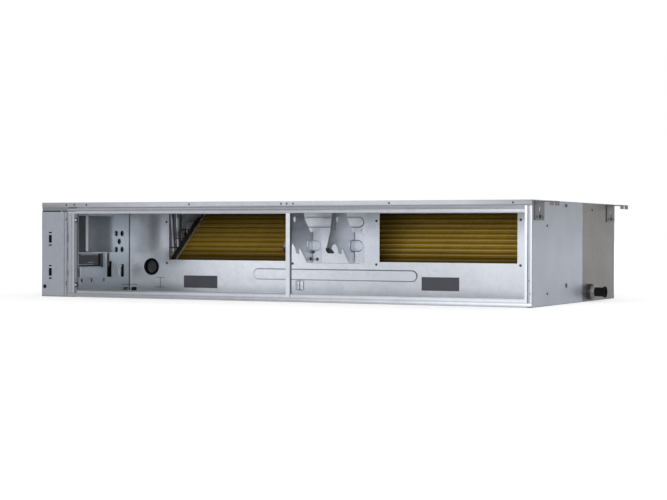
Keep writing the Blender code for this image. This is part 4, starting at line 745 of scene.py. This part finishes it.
def sheet_looks():
    """The galvanised nodes' looks by name, and the look of any sheet that isn't named."""
    # Painted shade: the left wall darker towards its foot
    inner_shade = tone_along("Z", 0.02, 0.11, 0.54, 1.0)
    outer = tone_along("X", -0.5334, -0.5327, 0.52, 1.0)
    wall = zinc("wall_zinc", (0.64, 0.705, 0.755), parts=(inner_shade, outer))
    # Painted shade towards the top of the right side, and below of the rear side
    upper_shade = tone_along("Z", 0.10, 0.20, 1.0, 0.72)
    side = zinc("side_zinc", (0.375, 0.405, 0.470), metallic=0.5, parts=(upper_shade,))
    upper_shade = tone_along("Z", 0.08, 0.19, 1.0, 0.80)
    rear = zinc("rear_zinc", (0.15, 0.143, 0.133), metallic=0.5, parts=(upper_shade,))
    # Painted shade on the coil chamber's inner face
    inner_shade = tone_along("X", -0.5333, -0.5328, 1.0, 0.30)
    chamber = zinc("chamber_zinc", (0.36, 0.38, 0.42), metallic=0.5, parts=(inner_shade,))
    deck = deck_sheet()
    looks = {"fan_deck": deck, "harness_clip": deck, "left_side_wall": wall, "cable_trough": wall}
    looks.update({"right_side_panel": side, "right_rear_panel": rear, "left_rear_panel": chamber})
    for more in (front_looks(), box_looks(), cradle_looks()):
        looks.update(more)
    lug = zinc("lug_zinc", (0.078, 0.08, 0.085), spangle=0.14)
    for name in LUGS:
        looks["hanger_" + name] = lug
    return looks, side


def dress(frame):
    """Gives every CAD node its material."""
    looks, plain = sheet_looks()
    rubber_names = ("gas_pipe_seal", "liquid_pipe_seal", "cradle_pad_left", "cradle_pad_right")
    shared = (
        (("gas_pipe", "liquid_pipe"), copper("bare_copper")),
        (("gas_flare_nut", "liquid_flare_nut"), brass("bare_brass")),
        (("drain_pan", "top_foam"), foam("black_foam")),
        (rubber_names, rubber("black_rubber")),
    )
    for names, look in shared:
        looks.update(dict.fromkeys(names, look))
    looks.update({
        "coil_fins": gold_fins("gold_fins"),
        "coil_end_plate_left": end_plate("left_plate", -0.44775, -1),
        "coil_end_plate_right": end_plate("right_plate", 0.50975, 1),
        "drain_collar": drain_ring("drain_ring", RIGHT + 0.0073),
        "cable_anchor": plastic("anchor_plastic", (0.56, 0.58, 0.60)),
        "fan_capacitor": plastic("capacitor_plastic", (0.12, 0.12, 0.13), 0.35),
        "control_board": circuit_board("board", BOARD_FACE),
        "terminal_block": plastic("cream_plastic", (0.20, 0.20, 0.15)),
        "drain_sleeve": rubber("sleeve_rubber", (0.004, 0.004, 0.004), 0.7, 0.12),
        "cable_grommet": rubber("grommet_rubber", (0.003, 0.0035, 0.005), 0.8, 0.08),
        "side_foam": foam("grey_foam", (0.30, 0.32, 0.335)),
    })
    for name, obj in frame["nodes"].items():
        obj.data.materials.clear()
        obj.data.materials.append(looks.get(name, plain))
        obj.data.set_sharp_from_angle(angle=SMOOTH_ANGLE)


def front_fasteners(steel, dark):
    """Screws on the lip and the deck, and washers and rivets on the left post."""
    places = [(x, FRONT + 0.0004, 0.2046) for x in LIP_SCREWS]
    screws("lip_screws", places, TO_FRONT, zinc("lip_screw_zinc", (0.016, 0.017, 0.020)), 0.0023, 0.0006)
    washers, rivets = bmesh.new(), bmesh.new()
    for z in (0.1711, 0.0269):
        matrix = stand_on((-0.5350, FRONT + 0.004, z), TO_FRONT)
        add_lathe(washers, matrix, [(0.0060, 0.0), (0.0058, 0.0008)])
        add_rivet(rivets, (-0.5346, FRONT + 0.0034, z), TO_FRONT, 0.0026, 0.0024)
    mesh_object("post_washers", washers, zinc("washer_zinc", (0.045, 0.048, 0.055)))
    mesh_object("post_rivets", rivets, steel)
    places = [(x, DECK, z) for x, z in DECK_SCREWS]
    screws("deck_screws", places, TO_FRONT, dark, 0.0024, 0.0016)


def side_fasteners(dark):
    """Screws on the right side panels and on the left rear panel."""
    places = [(RIGHT, FRONT + y, z) for y, z in SIDE_SCREWS]
    screws("side_screws", places, TO_RIGHT, dark, 0.0023, 0.0015)
    places = [(RIGHT, FRONT + y, z) for y, z in JOINT_SCREWS]
    screws("joint_screws", places, TO_RIGHT, dark, 0.0036, 0.0022)
    places = [(LEFT, y, z) for y, z in LEFT_SCREWS]
    screws("left_screws", places, TO_LEFT, dark, 0.0022, 0.0015)


def lug_screws(dark, pale):
    """Each lug's bolt and two small screws, and the pale pins that show in its keyhole."""
    heads, pins = bmesh.new(), bmesh.new()
    for name in LUGS:
        low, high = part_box("hanger_" + name)
        side = 1 if low[0] > 0 else -1
        out = (side, 0, 0)
        face = side * (RIGHT + 0.0019)
        panel = side * (RIGHT + 0.0002)
        middle = (low[1] + high[1]) / 2
        add_bolt(heads, (face, middle + 0.004, 0.1775), out, 0.0036, 0.0026)
        for offset in (-0.018, 0.018):
            add_screw(heads, (face, middle + offset, 0.177), out, 0.0022, 0.0012, offset)
        add_lathe(pins, stand_on((panel, middle, 0.1935), out), [(0.0034, 0.0), (0.0032, 0.0012)])
        add_lathe(pins, stand_on((panel, middle, 0.1885), out), [(0.0028, 0.0), (0.0026, 0.0010)])
    mesh_object("lug_screws", heads, dark)
    mesh_object("lug_pins", pins, pale)


def add_corner_pressing(bm, rim, root):
    """A raised round-ended pressing on a cradle's flange and on its plate, with its rim in a second bmesh."""
    middle, radius, steps = 0.1160, 0.0130, 12
    for along, out, base, reach in (
        (Vector(TO_RIGHT), Vector(TO_FRONT), Vector((root, CRADLE_FLANGE, middle)), 0.0077),
        (Vector(TO_FRONT), Vector(TO_RIGHT), Vector((root, CRADLE_FLANGE - 0.0007, middle)), 0.0090),
    ):
        rings = []
        for inset, lift in ((0.0, 0.0), (0.0012, 0.0009), (0.0030, 0.0012)):
            size = radius - inset
            ring = [base + Vector((0, 0, -size)) + out * lift]
            for index in range(steps + 1):
                turn = math.pi * (index / steps - 0.5)
                shift = along * (reach + size * math.cos(turn))
                ring.append(base + shift + Vector((0, 0, size * math.sin(turn))) + out * lift)
            ring.append(base + Vector((0, 0, size)) + out * lift)
            rings.append(ring)
        for target, (wide, narrow) in ((rim, rings[:2]), (bm, rings[1:])):
            bridge(target, new_ring(target, wide), new_ring(target, narrow))
        bm.faces.new(new_ring(bm, rings[2]))


def cradle_details(dark, plain, shade):
    """Bolts, corner pressings with a painted highlight on the left rims and painted shade on the right rims,
    and painted shade in the folds at the roots of the two motor cradles.
    """
    bolts = bmesh.new()
    add_bolt(bolts, (-CRADLE_SIDE, -0.0718, 0.0868), TO_RIGHT, 0.0032, 0.0026)
    add_bolt(bolts, (-0.0392, CRADLE_FLANGE, 0.0862), TO_FRONT, 0.0030, 0.0022)
    add_screw(bolts, (-0.0486, CRADLE_FLANGE, 0.1025), TO_FRONT, 0.0032, 0.0020, 0.3)
    mesh_object("cradle_bolts", bolts, dark)
    pressings, highlight_rims, shade_rims = bmesh.new(), bmesh.new(), bmesh.new()
    add_corner_pressing(pressings, highlight_rims, -CRADLE_SIDE)
    add_corner_pressing(pressings, shade_rims, CRADLE_SIDE)
    # The left rims are a painted highlight in pale zinc, the right rims and the root folds painted shade
    mesh_object("cradle_pressings", pressings, plain)
    mesh_object("cradle_pressing_shade", shade_rims, shade)
    mesh_object("cradle_pressing_highlights", highlight_rims, zinc("highlight_zinc", (0.72, 0.76, 0.82)))
    folds = []
    for root in (-CRADLE_SIDE, CRADLE_SIDE):
        folds.append(((root, CRADLE_FLANGE - 0.0008, 0.081), (root + 0.0012, CRADLE_FLANGE, 0.1465)))
    strips("cradle_folds", folds, shade)


def deck_plates():
    """The two bare dark plates on the deck, with a small step round the rim."""
    bm = bmesh.new()
    rim = 0.0012
    for x0, x1, z0, z1 in ((-0.3833, -0.2948, 0.0177, 0.0458), (0.2102, 0.2965, 0.0215, 0.0505)):
        add_box(bm, (x0, DECK - 0.0006, z0), (x1, DECK + 0.0002, z1))
        add_box(bm, (x0 + rim, DECK - 0.0008, z0 + rim), (x1 - rim, DECK, z1 - rim))
    mesh_object("deck_plates", bm, dark_plate("dark_plate"))


def clip_lines(face):
    """The small clip's slits and the lines above and below it."""
    boxes = []
    low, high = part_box("harness_clip")
    for x, width in ((-0.0925, 0.0009), (-0.0877, 0.0007), (-0.0815, 0.0016), (-0.0740, 0.0009)):
        y = low[1] if -0.088 < x < -0.078 else high[1] - 0.0012
        boxes.append(((x, y - 0.0002, low[2]), (x + width, y + 0.0001, high[2])))
    for z in (low[2], (low[2] + high[2]) / 2, high[2] - 0.0006):
        boxes.append(((-0.0877, low[1] - 0.0002, z), (-0.0783, low[1] + 0.0001, z + 0.0006)))
    for z in (low[2] - 0.0012, high[2] + 0.0006):
        boxes.append(((-0.0925, face, z), (-0.0731, DECK, z + 0.0006)))
    return boxes


def fine_lines(dark):
    """Joint lines of painted shadow in the gaps, and slits, marks and the wall's tie slots, which all show
    dark.
    """
    wall = LEFT + 0.001
    face = DECK - 0.0002
    boxes = [
        # The cable trough's edge on the wall and on the deck, and painted shadow in the upright joint between
        # the two
        ((wall - 0.0001, -0.0945, 0.0222), (wall + 0.0002, DECK, 0.0232)),
        ((wall + 0.0004, face, 0.0222), (-0.5100, DECK, 0.0232)),
        ((wall + 0.0002, face, 0.0030), (wall + 0.0017, DECK + 0.0002, 0.2040)),
        # The outline of a small tab at the deck's lower left
        ((-0.4590, face, 0.0398), (-0.4360, DECK, 0.0408)),
        ((-0.4590, face, 0.0175), (-0.4360, DECK, 0.0185)),
        ((-0.4480, face, 0.0180), (-0.4468, DECK, 0.0405)),
        # Painted shadow in the joints above the box and above the left post
        ((-0.5700, FRONT + 0.0002, 0.1896), (-0.5555, FRONT + 0.0008, 0.1914)),
        ((-0.5520, FRONT + 0.0002, 0.1895), (-0.5330, FRONT + 0.0030, 0.1904)),
        # Painted shade at the right post's foot, and two marks higher up on it
        ((0.5236, FRONT + 0.0002, 0.0004), (0.5332, FRONT + 0.0006, 0.0040)),
        ((0.5270, FRONT - 0.0002, 0.0510), (0.5282, FRONT + 0.0004, 0.0535)),
        ((0.5292, FRONT - 0.0002, 0.0262), (0.5306, FRONT + 0.0004, 0.0285)),
        # The thin line under the cradles
        ((-0.0619, face, 0.0776), (0.0641, DECK, 0.0781)),
    ]
    for y in (-0.1688, -0.2178, -0.2563):
        boxes.append(((LEFT + 0.0008, y, 0.0325), (LEFT + 0.0012, y + 0.0044, 0.0385)))
    strips("dark_lines", boxes + clip_lines(face), dark)


def coil_details(pale):
    """The end plates' front flanges beside the fins, brightened to a warm near-white as a painted highlight.
    """
    length = COIL_PITCH * COIL_TUBES
    near, far = 0.0018, 0.0046
    outline = []
    for along, off in ((0.001, near), (length - 0.001, near), (length - 0.001, far), (0.001, far)):
        y = COIL_FOOT[0] + along * math.sin(COIL_LEAN) - off * math.cos(COIL_LEAN)
        z = COIL_FOOT[1] + along * math.cos(COIL_LEAN) + off * math.sin(COIL_LEAN)
        outline.append((y, z))
    bm = bmesh.new()
    add_prism(bm, outline, COIL_LEFT - 0.0012, COIL_LEFT + 0.0022)
    add_prism(bm, outline, COIL_RIGHT - 0.0022, COIL_RIGHT + 0.0012)
    mesh_object("coil_flanges", bm, pale)


def add_leaning_strip(bm, foot, head, width, thickness):
    """A thin strip on the coil chamber's left wall, from its foot to its head in (y, z)."""
    half = width / 2
    outline = [(foot[0] - half, foot[1]), (foot[0] + half, foot[1])]
    outline += [(head[0] + half, head[1]), (head[0] - half, head[1])]
    add_prism(bm, outline, CHAMBER_FACE, CHAMBER_FACE + thickness)


def chamber_ribs(pale, shade):
    """Two leaning folds on the coil chamber's left wall, each with a strip of painted shade on its flank."""
    light, dark = bmesh.new(), bmesh.new()
    flank = 0.0065
    for foot, head in (((0.1326, 0.080), (0.1178, 0.196)), ((0.1520, 0.095), (0.1428, 0.196))):
        add_leaning_strip(light, foot, head, 0.0045, 0.0016)
        add_leaning_strip(dark, (foot[0] - flank, foot[1]), (head[0] - flank, head[1]), 0.0080, 0.0006)
    mesh_object("chamber_ribs", light, pale)
    mesh_object("chamber_flanks", dark, shade)


def box_details(black, bright, pale, shade):
    """Dust pads behind the cover's vents, black films behind the wall as painted shade seen through its
    openings, folded edges in the wall's windows, and dim strips of painted shade in a window and on the wall.
    """
    pads = []
    for z in (0.129, 0.055):
        low = (BOX_LEFT + 0.0148, FRONT + 0.0012, z - 0.019)
        pads.append((low, (BOX_LEFT + 0.0298, FRONT + 0.0042, z + 0.019)))
    strips("vent_pads", pads, black, "box_cover")
    # Black films behind the wall's openings: painted shade seen through them
    films = upright_boxes(BEHIND_WALL, (
        (-0.149, 0.036, -0.122, 0.100), (-0.096, 0.036, -0.068, 0.075),
        (-0.111, 0.096, -0.073, 0.150), (-0.262, 0.026, -0.140, 0.046),
    ))
    strips("wall_shade_films", films, black)
    light = upright_boxes(IN_WINDOW, (
        (-0.2560, 0.0924, -0.1870, 0.0950), (-0.2266, 0.0756, -0.2046, 0.0769),
        (-0.2680, 0.0706, -0.2080, 0.0724),
    ))
    light += upright_boxes(ON_WALL, ((-0.1680, 0.0640, -0.1640, 0.0968),))
    strips("box_brackets", light, pale)
    strips("divider_fold", upright_boxes(IN_WINDOW, ((-0.2352, 0.1010, -0.2265, 0.1885),)), bright)
    # Dim strips of painted shade deep in a window and on the wall
    dim = upright_boxes(DEEP_IN_WINDOW, (
        (-0.2680, 0.0700, -0.1860, 0.0975), (-0.2680, 0.1000, -0.2360, 0.1890),
    ))
    dim += upright_boxes(ON_WALL, ((-0.1800, 0.0640, -0.1700, 0.0968), (-0.1523, 0.0660, -0.1452, 0.0975)))
    strips("box_back_shade", dim, shade)


def hole_rims(dark):
    """A thin dark collar on the rim of each wire hole."""
    bm = bmesh.new()
    middle = (LEFT + 0.0010, DECK - 0.0428, 0.1230)
    for column, row in ((-1, -1), (1, -1), (0, 0), (-1, 1), (1, 1)):
        matrix = stand_on((middle[0], middle[1] + column * 0.0118, middle[2] + row * 0.0186), TO_RIGHT)
        rings = []
        for reach, level in ((0.0066, 0.0), (0.0062, 0.0006), (0.0050, 0.0006), (0.0048, 0.0)):
            rings.append(new_ring(bm, ring_points(matrix, (reach,), level, 20)))
        for ring, following in zip(rings, rings[1:] + rings[:1]):
            bridge(bm, ring, following)
    mesh_object("hole_rims", bm, dark)


def post_details(grey, shade):
    """Strips in the left post's groove and in its joint with the box, and small dark marks in that joint."""
    boxes = [
        ((-0.5450, FRONT + 0.0006, 0.0093), (-0.5432, FRONT + 0.0020, 0.1847)),
        ((-0.5560, FRONT + 0.0010, 0.0010), (-0.5520, FRONT + 0.0022, 0.1960)),
    ]
    strips("post_strips", boxes, grey)
    marks = []
    for x, z, width, height in JOINT_MARKS:
        low = (x - width / 2, FRONT - 0.0003, z - height / 2)
        marks.append((low, (x + width / 2, FRONT + 0.0012, z + height / 2)))
    strips("joint_clips", marks, shade)


def board_details():
    """Parts on the control board and screws on the terminal block, seen with the cover off."""
    bm = bmesh.new()
    for y, z, radius, height in (
        (-0.205, 0.050, 0.0050, 0.014), (-0.192, 0.052, 0.0040, 0.011), (-0.176, 0.050, 0.0045, 0.012),
    ):
        profile = [(radius, 0.0), (radius, height * 0.95), (radius * 0.85, height)]
        add_lathe(bm, stand_on((BOARD_FACE, y, z), TO_LEFT), profile, 20)
    blue = plastic("sleeve_plastic", (0.02, 0.05, 0.12), 0.3)
    mesh_object("board_capacitors", bm, blue)
    plugs = []
    for y, z in ((-0.258, 0.05), (-0.242, 0.05), (-0.226, 0.05), (-0.175, 0.012)):
        plugs.append(((BOARD_FACE - 0.008, y, z), (BOARD_FACE, y + 0.011, z + 0.006)))
        plugs.append(((BOARD_FACE - 0.010, y + 0.001, z + 0.005), (BOARD_FACE, y + 0.010, z + 0.007)))
    strips("board_plugs", plugs, plastic("plug_plastic", (0.62, 0.61, 0.55), 0.4))
    low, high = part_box("terminal_block")
    ways, wall = 6, 0.0008
    step = (high[0] - low[0] - 2 * wall) / ways
    places = []
    for index in range(ways):
        for z in (low[2] + 0.006, high[2] - 0.006):
            places.append((low[0] + wall + (index + 0.5) * step, high[1] - 0.010, z))
    screws("terminal_screws", places, TO_FRONT, zinc("terminal_zinc", (0.3, 0.3, 0.29), 0.3), 0.0026, 0.0016)


def rear_details(dark):
    """Screws on the top panel's rear edge and rivets on the discharge collar's flange."""
    places = [(x, REAR, 0.2045) for x in (-0.5, -0.3, -0.1, 0.1, 0.3, 0.5)]
    screws("rear_lip_screws", places, TO_REAR, dark, 0.0022, 0.0015)
    bm = bmesh.new()
    for columns, rows in (((-0.45, -0.15, 0.15, 0.45), (0.0275, 0.1925)), ((-0.49, 0.49), (0.07, 0.15))):
        for x in columns:
            for z in rows:
                add_rivet(bm, (x, REAR, z), TO_REAR, 0.0026, 0.0014)
    mesh_object("collar_rivets", bm, dark)


def seen_ray(tree):
    """One for a ray that comes from the camera, a mirror or glass, and zero for any other."""
    path = tree.nodes.new("ShaderNodeLightPath")
    seen = path.outputs["Is Camera Ray"]
    for name in ("Is Glossy Ray", "Is Transmission Ray"):
        most = tree.nodes.new("ShaderNodeMath")
        most.operation = "MAXIMUM"
        tree.links.new(seen, most.inputs[0])
        tree.links.new(path.outputs[name], most.inputs[1])
        seen = most.outputs[0]
    return seen


def floor():
    """A pale floor that reads white but for the object's shadow."""
    bm = bmesh.new()
    add_box(bm, (-FLOOR_HALF, -FLOOR_HALF, -0.02), (FLOOR_HALF, FLOOR_HALF, FLOOR_TOP))
    obj = new_object("studio_floor", bm)
    n = Nodes("floor")
    n.set(Base_Color=(0.82, 0.82, 0.82), Roughness=0.9, Specular_IOR_Level=0.1)
    far = n.math("SQRT", n.math("ADD", n.math("POWER", n.axis("X"), 2.0), n.math("POWER", n.axis("Y"), 2.0)))
    glow = n.add("ShaderNodeEmission")
    n.put(glow.inputs["Strength"], n.math("MULTIPLY", seen_ray(n.tree), n.ramp(far, *FLOOR_GLOW)))
    total = n.add("ShaderNodeAddShader")
    n.tree.links.new(n.shader.outputs[0], total.inputs[0])
    n.tree.links.new(glow.outputs[0], total.inputs[1])
    n.tree.links.new(total.outputs[0], n.tree.nodes["Material Output"].inputs["Surface"])
    obj.data.materials.append(n.material)


def world():
    """A white surround for the camera and for reflections, and a lower even light on the object."""
    studio = bpy.data.worlds.new("studio")
    bpy.context.scene.world = studio
    studio.use_nodes = True
    tree = studio.node_tree
    level = tree.nodes.new("ShaderNodeMapRange")
    level.inputs["To Min"].default_value = WORLD_LIGHT
    tree.links.new(seen_ray(tree), level.inputs["Value"])
    tree.links.new(level.outputs["Result"], tree.nodes["Background"].inputs["Strength"])
    tree.nodes["Background"].inputs["Color"].default_value = (1.0, 1.0, 1.0, 1.0)


def lamps():
    for name, place, target, size, power in LAMPS:
        data = bpy.data.lights.new(name, "AREA")
        data.shape = "RECTANGLE"
        data.size, data.size_y = size
        data.energy = power
        lamp = bpy.data.objects.new(name, data)
        bpy.context.scene.collection.objects.link(lamp)
        lamp.location = place
        lamp.rotation_euler = (Vector(target) - Vector(place)).to_track_quat("-Z", "Y").to_euler()


def camera():
    data = bpy.data.cameras.new("camera")
    data.lens = CAMERA_LENS
    data.sensor_width = 36.0
    data.sensor_fit = "HORIZONTAL"
    data.clip_end = 200.0
    obj = bpy.data.objects.new("camera", data)
    bpy.context.scene.collection.objects.link(obj)
    right = Vector((math.cos(CAMERA_YAW), math.sin(CAMERA_YAW), 0))
    ahead = Vector((-math.sin(CAMERA_YAW), math.cos(CAMERA_YAW), 0))
    up = Vector((0, 0, 1))
    forward = ahead * math.cos(CAMERA_PITCH) - up * math.sin(CAMERA_PITCH)
    lifted = up * math.cos(CAMERA_PITCH) + ahead * math.sin(CAMERA_PITCH)
    rolled_right = right * math.cos(CAMERA_ROLL) + lifted * math.sin(CAMERA_ROLL)
    rolled_up = lifted * math.cos(CAMERA_ROLL) - right * math.sin(CAMERA_ROLL)
    axes = Matrix((rolled_right, rolled_up, -forward)).transposed()
    obj.matrix_world = Matrix.Translation(CAMERA_AT) @ axes.to_4x4()
    bpy.context.scene.camera = obj


def pieces():
    """The added pieces, and the materials that several of them share."""
    steel = zinc("bright_screws", (0.62, 0.64, 0.68), 0.3)
    dark = zinc("dark_screws", (0.075, 0.078, 0.085), 0.35)
    pale = zinc("pale_zinc", (0.82, 0.82, 0.82), 0.35)
    shade = zinc("shaded_zinc", (0.16, 0.17, 0.19), 0.45)
    grey = zinc("joint_zinc", (0.26, 0.27, 0.30), 0.45)
    # A warm near-white zinc for the coil flanges, brightened as a painted highlight
    flange_highlight = zinc("plate_edge", (0.98, 0.90, 0.85), 0.4)
    black = rubber("line_black", (0.02, 0.022, 0.026), 0.7)
    pad = foam("pad_foam", (0.004, 0.004, 0.005))
    front_fasteners(steel, dark)
    side_fasteners(dark)
    lug_screws(dark, pale)
    cradle_details(dark, zinc("pressing_zinc", (0.50, 0.525, 0.57)), shade)
    deck_plates()
    fine_lines(black)
    coil_details(flange_highlight)
    chamber_ribs(zinc("rib_zinc", (0.56, 0.58, 0.62), 0.35), shade)
    fold = zinc("fold_zinc", (0.74, 0.78, 0.84))
    bracket = zinc("bracket_zinc", (0.36, 0.38, 0.41), 0.45)
    # A near-black zinc for strips of painted shade deep in the box's windows and on the wall
    back = zinc("back_shade_zinc", (0.085, 0.092, 0.105), 0.5)
    box_details(pad, fold, bracket, back)
    hole_rims(black)
    post_details(grey, shade)
    board_details()
    rear_details(dark)


def main():
    for obj in list(bpy.data.objects):
        bpy.data.objects.remove(obj, do_unlink=True)
    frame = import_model()
    bpy.context.scene.view_settings.view_transform = "Standard"
    camera()
    dress(frame)
    pieces()
    floor()
    world()
    lamps()


main()
